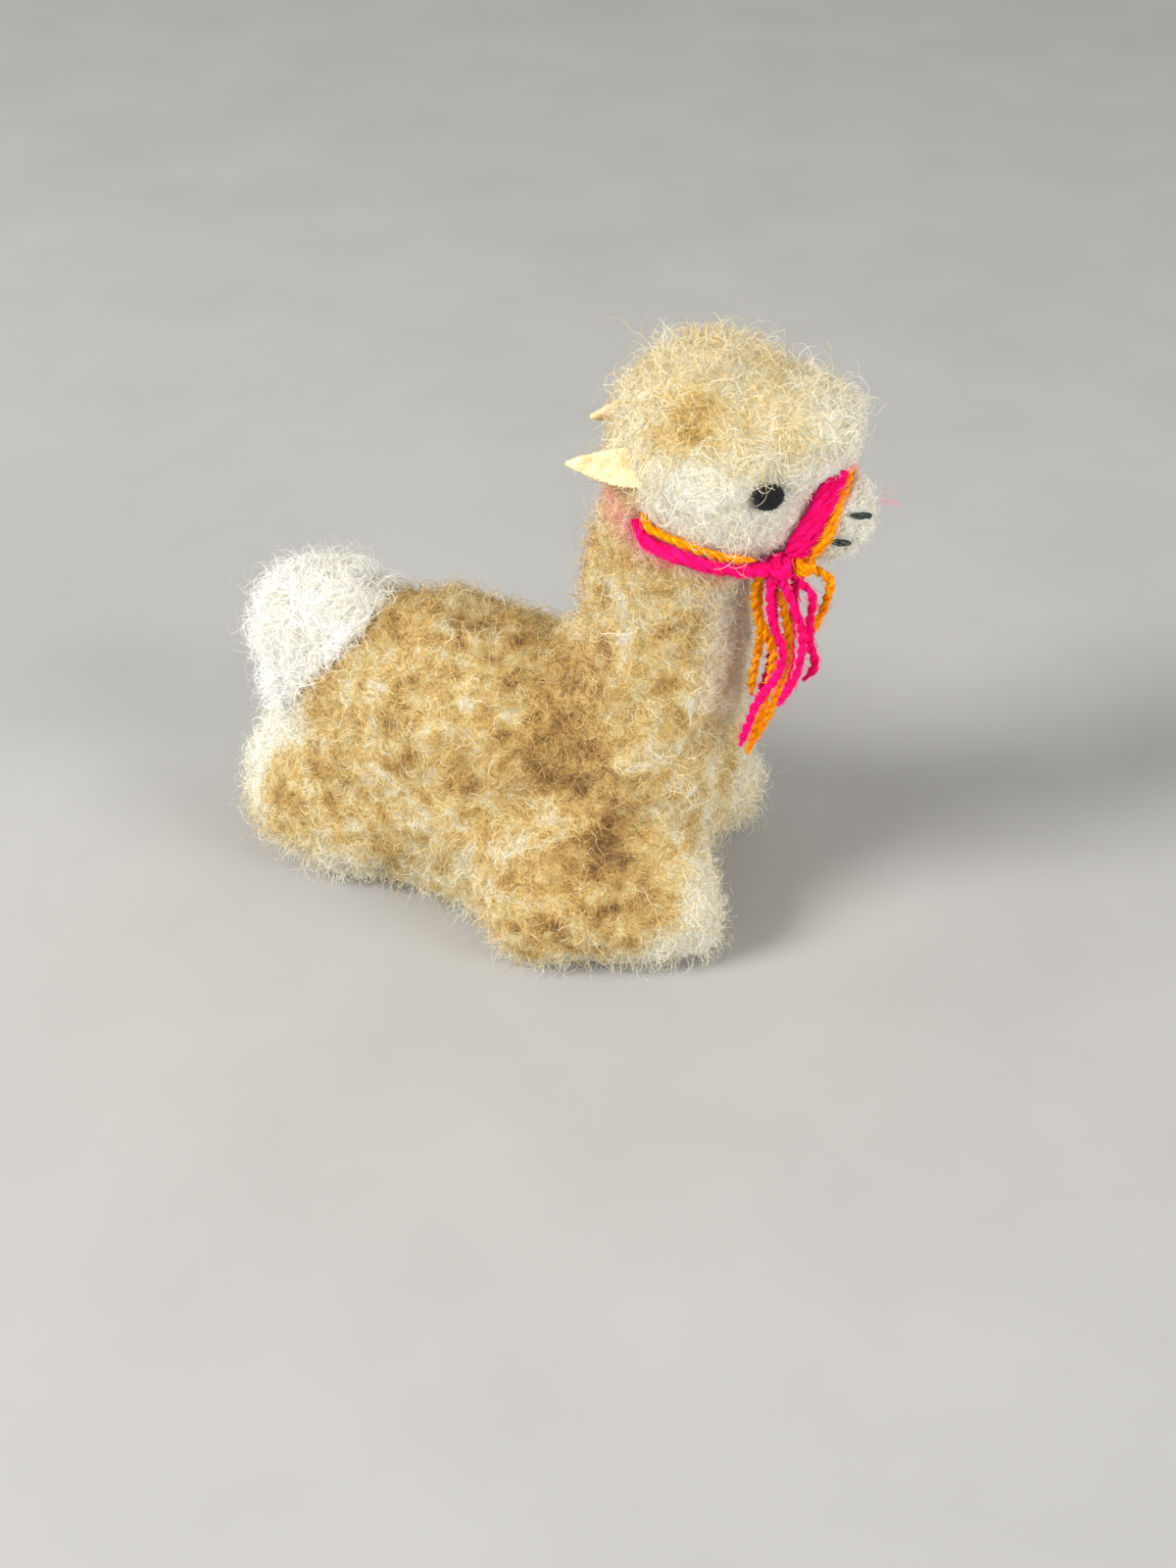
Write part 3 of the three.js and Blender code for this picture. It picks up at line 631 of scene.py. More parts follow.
def add_strips(parts, paths, widths, outward, rng, tones=0.0, blushes=0.0, rows=(0.0, 1.0), root_unshaded=0.0):
    """Flat fibres along paths (fibre, step, 3), with their broad side towards outward (fibre, 3). Rows are
    their part of the map, and the tip value at their roots comes last: painted shade darkens them there and
    fades out to their tips."""
    count, steps = paths.shape[0], paths.shape[1] - 1
    along = unit(np.gradient(paths, axis=1))
    facing = unit(outward + 0.45 * rng.normal(size=(count, 3)))[:, None]
    side = unit(np.cross(along, facing))
    flat = np.cross(side, along)
    half = 0.5 * np.broadcast_to(widths, paths.shape[:2])[..., None] * side
    vertices = np.stack([paths - half, paths + half], axis=2).reshape(-1, 3)
    soft = 0.2 * outward[:, None] + flat
    normals = np.stack([soft - 0.5 * side, soft + 0.5 * side], axis=2).reshape(-1, 3)
    first = (np.arange(count) * (steps + 1) * 2)[:, None] + 2 * np.arange(steps)
    quads = np.stack([first, first + 1, first + 3, first + 2], axis=-1).reshape(-1, 4)
    tip = root_unshaded + (1 - root_unshaded) * np.linspace(0, 1, steps + 1)
    unshaded_values = np.tile(np.repeat(tip, 2), count)
    tones, blushes = (np.repeat(np.broadcast_to(v, count), 2 * (steps + 1)) for v in (tones, blushes))
    parts.add(vertices, normals, quads, strip_map(count, steps, *rows), unshaded_values, tones, blushes)


def fibre_piece(name, finish, paths, widths, outward, rng, tones=0.0, blushes=0.0):
    """A piece of flat fibres, which are narrower or wider along their length as widths says."""
    parts = Parts()
    add_strips(parts, paths, widths, outward, rng, tones, blushes)
    return new_piece(name, parts.mesh(name), finish)


def add_tube(parts, line, radii, sides, unshaded_values, column):
    """A round tube along a line, in the given column (left, right, low, high) of the map. A tip value below 1
    darkens it by painted shade.
    """
    side, other = sides_of(line)
    turn = np.linspace(0, 2 * math.pi, sides, endpoint=False)
    round_it = around(turn[None, :, None], side[:, None], other[:, None])
    vertices = (line[:, None] + radii[:, None, None] * round_it).reshape(-1, 3)
    ring = sides * np.arange(len(line) - 1)[:, None]
    here, after = np.arange(sides), np.roll(np.arange(sides), -1)
    quads = np.stack([ring + here, ring + after, ring + sides + after, ring + sides + here], axis=-1)
    left, right, low, high = column
    across = left + (right - left) * np.arange(sides + 1) / sides
    rise = low + (high - low) * np.linspace(0, 1, len(line))
    corners = cell_corners(across[:-1], across[1:], rise[:-1, None], rise[1:, None])
    parts.add(vertices, round_it.reshape(-1, 3), quads.reshape(-1, 4), corners, unshaded_values, 0.0, 0.0)


# Yarn: soft plies twisted round each other, with fine fibres along them and some that stand off. Its measures
# are shares of the yarn's diameter, apart from the fibres' widths.
YARN_STEP = 0.22
PLY_OFFSET = 0.21
PLY_RADIUS = 0.25
PLY_SIDES = 6
# The tip value of the plies and of the wrap fibres' roots, which darkens them a little with painted shade
YARN_UNSHADED = 0.8
WRAP_STEPS = 5
WRAP_WIDTH = 0.09 * MM
PROUD_SHARE = 0.22
STRAY_STEPS = 8
STRAY_WIDTH = 0.05 * MM
LINE_STEP = 0.8 * MM


def ply_lines(line, diameter, plies, turn_length, open_end):
    """The middle line of each ply of a yarn and its radii. The plies lie closer at the yarn's ends."""
    side, other = sides_of(line)
    total = length_of(line)
    place = np.linspace(0, total, len(line))
    turn = 2 * math.pi * place / (turn_length * diameter) + 0.6 * noise(line, 2.2 * diameter, 31)
    ends = smoothstep(place, -0.3 * diameter, 0.5 * diameter)
    if open_end:
        ends = ends * (0.35 + 0.65 * smoothstep(total - place, -0.2 * diameter, 2.0 * diameter))
        ends = ends * smoothstep(total - place, -0.2 * diameter, 0.5 * diameter)
    lines, radii = [], []
    for k in range(plies):
        angle = (turn + 2 * math.pi * k / plies)[:, None]
        off = PLY_OFFSET * diameter * around(angle, side, other)
        lines.append(line + off * (0.4 + 0.6 * ends)[:, None])
        radii.append(PLY_RADIUS * diameter * (0.94 + 0.22 * noise(line, diameter, 40 + k)) * ends)
    return np.stack(lines), np.stack(radii)


def add_yarn(parts, line, diameter, rng, rows, turn_length, per_mm, plies=3, open_end=True):
    """Adds a yarn along a line. A ply goes round it in turn_length diameters. Rows are its part of the map,
    and per_mm is how many fibres wrap each millimetre."""
    bottom, top = rows
    middle_row = 0.5 * (bottom + top)
    line = resampled(line, YARN_STEP * diameter)
    side, other = sides_of(line)
    middles, radii = ply_lines(line, diameter, plies, turn_length, open_end)
    for k in range(plies):
        column = (k / plies, (k + 0.9) / plies, bottom, middle_row)
        add_tube(parts, middles[k], radii[k], PLY_SIDES, YARN_UNSHADED, column)
    count = int(length_of(line) / MM * per_mm)
    share = np.linspace(0, 1, WRAP_STEPS + 1)
    start = rng.uniform(-0.02, 0.97, count) * (len(line) - 1)
    span = rng.uniform(5, 10, count)
    spots = np.clip(start[:, None] + span[:, None] * share, 0, len(line) - 1.001)
    which = rng.integers(0, plies, count)[:, None]
    low = spots.astype(int)
    part = (spots - low)[..., None]
    middle = (1 - part) * middles[which, low] + part * middles[which, low + 1]
    radius = radii[which, low][..., None]
    twist = 2 * math.pi * YARN_STEP / turn_length
    angle = rng.uniform(0, 2 * math.pi, count)[:, None] + twist * span[:, None] * share
    stand = np.abs(rng.normal(size=count)) * 0.12 + 0.02
    proud = rng.random(count) < PROUD_SHARE
    stand[proud] += rng.uniform(0.1, 0.6, proud.sum())
    rise = 1.04 + (stand * 4)[:, None] * np.sin(math.pi * share) ** 2
    direction = around(angle[..., None], side[low], other[low])
    paths = middle + radius * rise[..., None] * direction
    width = WRAP_WIDTH * (1 - 0.5 * share**2)
    facing = direction[:, WRAP_STEPS // 2]
    add_strips(parts, paths, width, facing, rng, rows=(middle_row, top), root_unshaded=YARN_UNSHADED)


def dye_of(name):
    return "pink" if "pink" in name else "orange"


def yarn_piece(name, lines, diameter, node, seed, **how):
    """A piece of one or more lines of yarn, whose colour is in its name."""
    parts = Parts()
    rng = np.random.default_rng(seed)
    for index, line in enumerate(lines):
        rows = (index / len(lines), (index + 1) / len(lines))
        add_yarn(parts, line, diameter, rng, rows, **how)
    return new_piece(name, parts.mesh(name), YARN[dye_of(name)], [node])


def stray_fibres(name, lines, per_mm, seed):
    """A piece of fine fibres that leave the yarn along the given lines."""
    rng = np.random.default_rng(seed)
    spots = np.vstack([resampled(line, MM / per_mm) for line in lines])
    count = len(spots)
    leave = unit(rng.normal(size=(count, 3)))
    bend = rng.normal(size=(count, 3)) * 0.6
    long = rng.uniform(1.6, 4.5, count) * MM
    swing = rng.uniform(0.15, 0.5, count) * MM
    paths = curled(spots, leave, bend, long, swing, rng.uniform(0.6, 1.8, count), STRAY_STEPS, rng)
    fibre_piece(name, YARN[dye_of(name)], paths, STRAY_WIDTH, leave, rng)


NOSE_TIP = np.array([57.6, -2.5, 82.5]) * MM
NOSE_HAIRS = 9
HAIR_STEPS = 20
HAIR_WAVE = 0.5 * MM
HAIR_WIDTH = 0.09 * MM


def nose_hairs():
    """Fine pink hairs of the yarn that cling to the tip of the nose."""
    rng = np.random.default_rng(270)
    size = (NOSE_HAIRS, 3)
    roots = NOSE_TIP + rng.normal(size=size) * [0.8 * MM, 1.4 * MM, 1.1 * MM]
    leave = unit(np.array([1, -0.5, 0.2]) + 0.7 * rng.normal(size=size))
    bend = rng.normal(size=size)
    long = rng.uniform(3, 5.5, NOSE_HAIRS) * MM
    turns = rng.uniform(0.6, 1.6, NOSE_HAIRS)
    paths = curled(roots, leave, bend, long, np.full(NOSE_HAIRS, HAIR_WAVE), turns, HAIR_STEPS, rng)
    fibre_piece("nose_hairs", FLEECE, paths, HAIR_WIDTH, leave, rng, 0.2, 1.0)


# Tassel: free strands that leave the knot, or come out under the neck band beside it, and hang in layers
# from right to left. Each one has its start [ahead, left, up] from the pink knot's centre, its layer and its
# line of [ahead, up]. Ahead and left are in tassel spacings, up is in hundredths of the height.
HEIGHT = 106 * MM
HUNDREDTH = HEIGHT / 100
YARN_DIAMETER = 1.7 * MM
TASSEL_SPACING = 2.45 * MM
KNOT_CENTRE = np.array([40.6, -9.2, 67.9]) * HUNDREDTH
LAYER_SETTLES = 7
NEAREST_LAYER = -0.75
TASSEL = [
    ("pink_1", [0.9, 0.1, -0.5], 1,
     [[1.45, -2.3], [2.2, -4.6], [2.15, -8], [2.25, -13], [2.7, -17], [1.95, -19.7]]),
    ("pink_2", [0.3, -0.4, -1], 0, [[0.6, -3.2], [1.35, -6], [1.85, -10], [1.6, -17], [0.5, -23.5]]),
    ("pink_3", [0.5, 0.9, -0.5], 3, [[0.9, -2.5], [0.8, -7], [0.7, -14], [0.75, -20], [0.2, -27]]),
    ("pink_4", [-0.3, -0.4, -1], 0,
     [[-0.5, -3.2], [-0.2, -8.5], [0.6, -13.5], [0.45, -17], [-0.65, -22], [-1.2, -25], [-2, -32]]),
    ("pink_5", [-0.6, 1.6, -4.4], 3, [[-0.6, -7], [-0.5, -14], [-0.6, -20], [-1.25, -28]]),
    ("orange_1", [1.9, 0.9, -0.4], 2, [[3.1, -1.8], [3.2, -4.2], [2.85, -8], [2.4, -11], [2.05, -13.8]]),
    ("orange_2", [0.1, 0.3, -1], 2,
     [[0.2, -3.2], [0.15, -7], [0.65, -13], [0.6, -19], [0, -25], [-1.2, -33.3]]),
    ("orange_3", [-0.9, -0.3, -0.5], 1,
     [[-1.45, -2.3], [-1.45, -7.5], [-0.7, -12], [-0.15, -16], [-0.4, -22], [-1.1, -30], [-1.6, -35]]),
    ("orange_4", [-1.5, 1.5, -4.4], 2, [[-1.5, -7], [-1.25, -14], [-1.6, -21], [-1.65, -25.2]]),
]


def tassel_route(start, layer, line):
    route = [start]
    for ahead, up in line:
        settled = smoothstep(-up, -start[2], LAYER_SETTLES)
        route.append([ahead, start[1] + (layer + NEAREST_LAYER - start[1]) * settled, up])
    return KNOT_CENTRE + np.array(route, float) * [TASSEL_SPACING, TASSEL_SPACING, HUNDREDTH]


strands = {}
for index, (dyed, start, layer, line) in enumerate(TASSEL):
    name = "tassel_" + dyed
    route = resampled(rounded(tassel_route(start, layer, line)), LINE_STEP)
    strands[name] = route
    kinked = route + 0.16 * MM * noise_vector(route, 3 * MM, 34)
    how = {"plies": 2, "turn_length": 2.4, "per_mm": 15}
    piece = yarn_piece("yarn_" + name, [kinked], YARN_DIAMETER, name, 100 + index, **how)


# Bands, along the middle lines of their solids


def centreline(node, diameter, order, step):
    """The middle line of a strand's solid. Order gives each point its place along it, in metres. Each side's
    middle is stepped in by half a diameter, so the outer sides meet on the line and a cut's sides don't."""
    corners = triangles_of(node)
    across = doubled_areas(corners)
    area = lengths(across)
    middles = corners.mean(axis=1) - 0.5 * diameter * math.cos(math.pi / 8) * unit(across)
    place = order(middles)
    line = []
    for here in np.arange(place.min() + step / 2, place.max(), step):
        near = (np.abs(place - here) < 0.8 * step) & (area > 0)
        if near.sum() < 4:
            continue
        spots, shares = middles[near], area[near]
        middle = np.median(spots, axis=0)
        close = lengths(spots - middle) < 0.6 * diameter
        if close.any():
            middle = np.average(spots[close], axis=0, weights=shares[close])
        line.append(middle)
    return smoothed(np.array(line), 2)


DEGREE = 0.25 * MM  # the length that a degree round a loop counts as


def loop_order(centre, pitch, start):
    """The place round a loop, from the start angle on. The angle is 0 at the loop's front and 90 degrees on
    the llama's left."""
    tilt = math.radians(pitch)
    ahead = np.array([math.cos(tilt), 0, math.sin(tilt)])

    def order(places):
        away = places - centre
        angle = np.degrees(np.arctan2(away[:, 1], away @ ahead))
        return (angle - start) % 360 * DEGREE

    return order


NOSE_CENTRE = np.array([43.6, 0, 73.2]) * HUNDREDTH
NECK_CENTRE = np.array([23.1, 0, 71.8]) * HUNDREDTH
NECK_CORD_DIAMETER = 2.7 * MM
NAPE = 20.5 * MM  # behind it the neck band lies deep in the fleece
NAPE_SINKS = (NAPE - 2 * MM, NAPE + 2.5 * MM)
NAPE_DEPTH = 3.4 * MM
BAND_STEP = 2.2 * MM
# Over the bridge of the nose each strand lies lower than its solid, and further back by its own value
BRIDGE_HEIGHTS = (77 * MM, 85 * MM)
BRIDGE_LOW = 1.0 * MM
BRIDGE_BACK = {"noseband_pink_1": 0, "noseband_pink_2": 0.4 * MM, "noseband_orange": 1.0 * MM}
ORANGE_NECK_SUNK = 0.7 * MM
ORANGE_NOSE_BACK = 0.35 * MM
# Each band has its loop's centre and pitch, the place of the knot round it in degrees, and its thickness. The
# soft yarn shows wider than its solid, by the last value.
BANDS = [
    ("noseband_pink_1", NOSE_CENTRE, 69, -132, YARN_DIAMETER, 1.45),
    ("noseband_pink_2", NOSE_CENTRE, 69, -132, YARN_DIAMETER, 1.45),
    ("noseband_orange", NOSE_CENTRE, 69, -132, YARN_DIAMETER, 1.35),
    ("neckband_pink", NECK_CENTRE, -12, -27, NECK_CORD_DIAMETER, 1.0),
    ("neckband_orange", NECK_CENTRE, -12, -27, YARN_DIAMETER, 0.85),
]


def band_line(name, centre, pitch, knot_angle, diameter):
    line = centreline(name, diameter, loop_order(centre, pitch, knot_angle), BAND_STEP)
    if name == "neckband_pink":
        line = np.vstack([KNOT_CENTRE, line, KNOT_CENTRE])
    line = resampled(rounded(line), LINE_STEP)
    if "neckband" in name:
        away = unit((line - centre) * [1, 1, 0])
        line -= NAPE_DEPTH * away * (1 - smoothstep(line[:, :1], *NAPE_SINKS))
    else:
        moved = np.array([BRIDGE_BACK[name], 0, BRIDGE_LOW])
        line -= moved * smoothstep(line[:, 2:], *BRIDGE_HEIGHTS)
    if name == "neckband_orange":
        line -= ORANGE_NECK_SUNK * away
    if name == "noseband_orange":
        line[:, 0] -= ORANGE_NOSE_BACK
    return line


def between(line, other, centre):
    """A line between two strands that lie side by side round a centre, which fills the groove."""
    beside = resampled(other, length_of(other) / (len(line) - 1))
    middle = 0.5 * (line + beside[: len(line)])
    return middle + 0.25 * MM * unit(middle - centre)


for index, (name, centre, pitch, knot_angle, diameter, fuller) in enumerate(BANDS):
    strands[name] = band_line(name, centre, pitch, knot_angle, diameter)
    lines = [strands[name]]
    if name == "noseband_pink_2":
        lines.append(between(strands[name], strands["noseband_pink_1"], centre))
    how = {"turn_length": 4.5, "per_mm": 18, "open_end": name != "neckband_pink"}
    yarn_piece("yarn_" + name, lines, fuller * diameter, name, 200 + index, **how)


# Knots: coils of yarn. Each coil has its axis, its radius and width as shares of the knot's length, its turns
# and the angle that it starts at.
KNOT_LENGTH = 5.8 * MM
SMALL_KNOT_LENGTH = 4.4 * MM
SMALL_KNOT_CENTRE = KNOT_CENTRE + np.array([(KNOT_LENGTH + SMALL_KNOT_LENGTH) * 0.37, 1.2 * MM, 0.4 * MM])
KNOT_COILS = [((0.55, -0.2, 0.8), 0.27, 0.5, 2.2, 40), ((-0.75, -0.1, 0.6), 0.33, 0.14, 0.9, 120)]
SMALL_KNOT_COILS = [((0.5, -0.1, 0.8), 0.26, 0.52, 2.0, 0)]


def coil(centre, length, axis, radius, width, turns, start):
    axis = unit(np.array(axis, float))
    side = unit(np.cross(axis, np.array([0.2, 0.9, 0.4])))
    other = np.cross(axis, side)
    t = np.linspace(0, 1, int(24 * turns))
    angle = (math.radians(start) + 2 * math.pi * turns * t)[:, None]
    bulge = (radius * length * (1 - 0.25 * (2 * t - 1) ** 2))[:, None]
    along = ((t - 0.5) * (width * length))[:, None] * axis
    return centre + along + bulge * around(angle, side, other)


def knot(dye, centre, length, coils, diameter, seed):
    lines = [coil(centre, length, *one) for one in coils]
    node = "halter_knot_" + dye
    yarn_piece("yarn_" + node, lines, diameter, node, seed, turn_length=4, per_mm=20)


knot("pink", KNOT_CENTRE, KNOT_LENGTH, KNOT_COILS, 1.1 * YARN_DIAMETER, 250)
knot("orange", SMALL_KNOT_CENTRE, SMALL_KNOT_LENGTH, SMALL_KNOT_COILS, YARN_DIAMETER, 251)
for index, dye in enumerate(YARN):
    lines = [line for name, line in strands.items() if dye in name]
    stray_fibres("yarn_strays_" + dye, lines, 0.9, 260 + index)
nose_hairs()


# Fleece: a lumpy skin a little under the surface, and curly fibres that grow from it
CELL = 0.35 * MM
KEPT_MARGIN = 15 * MM


class Kept:
    """The space that the fibres leave free, as a grid of small cells."""

    def __init__(self):
        self.low = np.array(cad_low) - KEPT_MARGIN
        size = (np.array(cad_high) + KEPT_MARGIN - self.low) / CELL
        self.taken = np.zeros(size.astype(int) + 1, bool)

    def cells(self, places):
        return np.floor((places - self.low) / CELL).astype(int)

    def index(self, cells):
        """The index of cells in the grid, or of the nearest ones to those outside it."""
        return tuple(np.clip(cells, 0, np.array(self.taken.shape) - 1).reshape(-1, 3).T)

    def keep(self, places, radius):
        reach = int(math.ceil(radius / CELL))
        steps = np.arange(-reach, reach + 1)
        ball = np.stack(np.meshgrid(steps, steps, steps, indexing="ij"), axis=-1).reshape(-1, 3)
        ball = ball[lengths(ball) * CELL <= radius]
        self.taken[self.index(self.cells(places)[:, None] + ball)] = True

    def hits(self, paths):
        return self.taken[self.index(self.cells(paths))].reshape(paths.shape[:2]).any(axis=1)


def samples_on(mesh, count, rng):
    """Evenly spread places on a mesh, and the way out of it at each one."""
    index = corners_of(mesh)
    corners, outs = points_of(mesh)[index], normals_of(mesh)[index]
    total = np.cumsum(lengths(doubled_areas(corners)))
    wanted = (np.arange(count) + rng.random(count)) / count * total[-1]
    chosen = np.searchsorted(total, wanted)
    first, second = rng.random(count), rng.random(count)
    over = first + second > 1
    first[over], second[over] = 1 - first[over], 1 - second[over]
    shares = np.stack([1 - first - second, first, second], axis=1)[..., None]
    return (corners[chosen] * shares).sum(axis=1), unit((outs[chosen] * shares).sum(axis=1))


MUZZLE = np.array([53.5, 0, 79]) * MM
MUZZLE_GROWS = (9 * MM, 20 * MM)  # how far away from it the fleece gets longer
MUZZLE_SHADE_LIFT = (7 * MM, 12 * MM)  # nearer than these, less painted shade darkens the skin, so the muzzle shows lighter


def growth_at(places):
    """How tall the fleece stands, as a share: it is short on the muzzle."""
    return 0.5 + 0.5 * smoothstep(lengths(places - MUZZLE), *MUZZLE_GROWS)


# Where the fleece hangs down over what is below it: over the ears, the eyes and the band under the cheeks.
# Each place is its middle in millimetres on the right side and its radius.
HANGING = [
    ((17, -14, 94), 5.5),
    ((22, -17, 91), 5),
    ((40, -11, 89.5), 3),
    ((27, -16.5, 76), 5),
    ((33, -14, 73.5), 4.5),
]


def hanging_at(places):
    spots = on_the_right(places)
    found = sum(np.exp(-((lengths(spots - np.array(m)) / r) ** 2) * 1.5) for m, r in HANGING)
    return np.minimum(1, found)


NOSE_SPREAD = 1.3  # how much wider than one strand the skin gives way under each strand of the nose band


def thickness_of(name):
    if name == "neckband_pink":
        return NECK_CORD_DIAMETER
    return (NOSE_SPREAD if "noseband" in name else 1.0) * YARN_DIAMETER


def shown_part(name, line):
    """A strand's line without the part of a neck band that the fleece of the nape hides."""
    return line[line[:, 0] > NAPE] if "neckband" in name else line


def pressed_in(points, out, line, thick):
    """The skin, with a channel where a strand lies on it or in it."""
    low, high = line.min(axis=0) - 2 * thick, line.max(axis=0) + 2 * thick
    near = np.flatnonzero(((points > low) & (points < high)).all(axis=1))
    if not len(near):
        return points
    places, outward = points[near], out[near]
    tree = KDTree(len(line))
    for index, spot in enumerate(line):
        tree.insert(spot, index)
    tree.balance()
    nearest = np.array([line[tree.find(place)[1]] for place in places])
    away = places - nearest
    above = (away * outward).sum(axis=1)
    aside = lengths(away - above[:, None] * outward)
    wanted = 0.2 * MM - 0.75 * np.sqrt(np.maximum((0.6 * thick) ** 2 - aside**2, 0))
    ease = 1 - smoothstep(aside, 0.5 * thick, 0.85 * thick)
    moved = points.copy()
    moved[near] -= outward * (ease * np.clip(above - wanted, 0, 2 * thick) * (above < 1.4 * thick))[:, None]
    return moved


# The stretch of the nose band's rear strand where the forehead gives way behind it
FOREHEAD_FROM = 82 * MM
FOREHEAD_LEFT = 2 * MM
FOREHEAD_CLEAR = 1.0 * MM
MOUTH_WIDTH = 1.8 * MM
MOUTH_REACH = 6  # to each side, in millimetres like the step
MOUTH_STEP = 0.8


def forehead_line():
    line = strands["noseband_pink_1"]
    line = line[(line[:, 2] > FOREHEAD_FROM) & (line[:, 1] < FOREHEAD_LEFT)]
    return line - np.array([FOREHEAD_CLEAR, 0, 0])


def mouth_line():
    """The line of the mouth round the tip of the nose, from the right stitch to the left one."""
    spots = np.vstack([triangles_of("mouth_stitch_" + side).mean(axis=1) for side in ("right", "left")])
    line = []
    for left in np.arange(-MOUTH_REACH, MOUTH_REACH + 0.5, MOUTH_STEP) * MM:
        near = np.abs(spots[:, 1] - left) < 0.6 * MM
        if near.any():
            line.append(spots[near].mean(axis=0))
    return resampled(rounded(np.array(line)), 0.4 * MM)


def closeness(points, tree, reach):
    """1 where a point touches the tree's surface, down to 0 where it is reach away from it."""
    away = np.array([tree.find_nearest(Vector(point))[3] for point in points])
    return 1 - smoothstep(away, 0.3 * reach, reach)


# Dye that has come off the pink yarn, by strand. It is deepest round the nape.
BLUSHES = [("neckband_pink", 0.5), ("tassel_pink_4", 0.5), ("tassel_pink_2", 0.5), ("noseband_pink_1", 0.4)]
NAPE_BLUSH = 0.85
NAPE_BLUSH_END = NAPE + 5 * MM
BLUSH_REACHES = (1.5 * MM, 6 * MM)


def blush_at(places):
    found = np.zeros(len(places))
    for name, share in BLUSHES:
        for spot in strands[name][::4]:
            away = lengths(places - spot)
            deep = NAPE_BLUSH if spot[0] < NAPE_BLUSH_END else share
            found = np.maximum(found, deep * (1 - smoothstep(away, *BLUSH_REACHES)))
    return found * (0.6 + 0.4 * noise(places, 3 * MM, 51))


SKIN_CELL = 1.0 * MM
SKIN_ROUNDS = 8
LUMPS = [(0.4, 4.2 * MM, 21), (0.3, 2.0 * MM, 22), (0.2, 1.1 * MM, 23)]
SEAM_REACH = 4 * MM
SEAM_FULLNESS = 0.5 * MM
SEAM_WAVES = [(1, 3.4 * MM, 24), (0.5, 1.6 * MM, 25)]
TAIL_WAVES = 1.1 * MM
HEM_INSET = 1.3 * MM
SKIN_RESTS = (0.3 * MM, 2.5 * MM)
LOWEST_SKIN = 0.05 * MM


def fleece_skin(node, name, finish, depth, neighbour, waves=0.0):
    """The dense fleece of a node, about depth under its surface. It is sewn to its neighbour along a seam,
    which waves by the given amount, and draws in a little at the ground."""
    mesh = remeshed(node, SKIN_CELL, SKIN_ROUNDS)
    points, out = points_of(mesh), normals_of(mesh)
    lumps = layered(points, LUMPS)
    inset = depth * growth_at(points) ** 2 - lumps * MM
    sewn = closeness(points, neighbour, SEAM_REACH)
    inset = inset * (1 - sewn) - (SEAM_FULLNESS + waves * layered(points, SEAM_WAVES)) * sewn
    above = smoothstep(points[:, 2], *SKIN_RESTS)
    points -= out * (inset * above)[:, None]
    points += unit(out * [1, 1, 0]) * ((0.7 * lumps * MM - HEM_INSET) * (1 - above))[:, None]
    for strand, line in strands.items():
        points = pressed_in(points, out, shown_part(strand, line), thickness_of(strand))
    points = pressed_in(points, out, forehead_line(), thickness_of("noseband_pink_1"))
    points = pressed_in(points, out, mouth_line(), MOUTH_WIDTH)
    points[:, 2] = np.maximum(points[:, 2], LOWEST_SKIN)
    set_points(mesh, points)
    add_value(mesh, "tone", tone_at(points))
    # Painted shade on the skin: darker in the hollows between its lumps, and lifted near the muzzle so it
    # shows lighter
    muzzle = 1 - smoothstep(lengths(points - MUZZLE), *MUZZLE_SHADE_LIFT)
    add_value(mesh, "tip", np.clip(0.35 + 0.6 * lumps + 0.5 * muzzle, 0, 1))
    add_value(mesh, "blush", blush_at(points))
    piece = new_piece(name, mesh, finish, [node])
    return piece


# Heights between which the fibres change
HEM_HEIGHTS = (0.8 * MM, 3.5 * MM)
BELLY_HEIGHTS = (2 * MM, 6 * MM)
LYING_HEIGHTS = (2 * MM, 7 * MM)
CROWN_HEIGHTS = (90 * MM, 102 * MM)
TUFT_WIDTH = 3.0 * MM
LOWEST_FIBRE = 0.1 * MM
CROSSING_SHARE = 0.03  # the fibres that may cross the yarn, an eye or a stitch
CUT_SHORT = 0.45  # what is left of a fibre that would cross them


def towards_tuft(places, out):
    """Which way each fibre leans to join the others of its tuft."""
    jitter = 0.8 * TUFT_WIDTH * noise_vector(places, 1.7 * TUFT_WIDTH, 81)
    cell = np.floor((places + jitter) / TUFT_WIDTH) * TUFT_WIDTH + 0.5 * TUFT_WIDTH - jitter
    return 0.45 * flattened(cell - places, out) / TUFT_WIDTH


def hem_at(places):
    """1 where the fleece meets the ground, 0 above."""
    return 1 - smoothstep(places[:, 2], *HEM_HEIGHTS)


def lengths_at(roots, out, height, hanging, rng):
    """How long each fibre grows: more on top of the head and where it hangs, less under the belly, and
    unevenly at the hem."""
    long = height * growth_at(roots) * rng.uniform(0.6, 1.45, len(roots))
    under = smoothstep(-out[:, 2], 0.5, 0.9) * (1 - smoothstep(roots[:, 2], *BELLY_HEIGHTS))
    crown = smoothstep(roots[:, 2], *CROWN_HEIGHTS)
    long *= (1 - 0.6 * under) * (1 + 0.5 * hanging) * (1 + 0.35 * crown)
    return long * (1 + hem_at(roots) * (0.35 + 0.5 * noise(roots, 2.5 * MM, 91)))


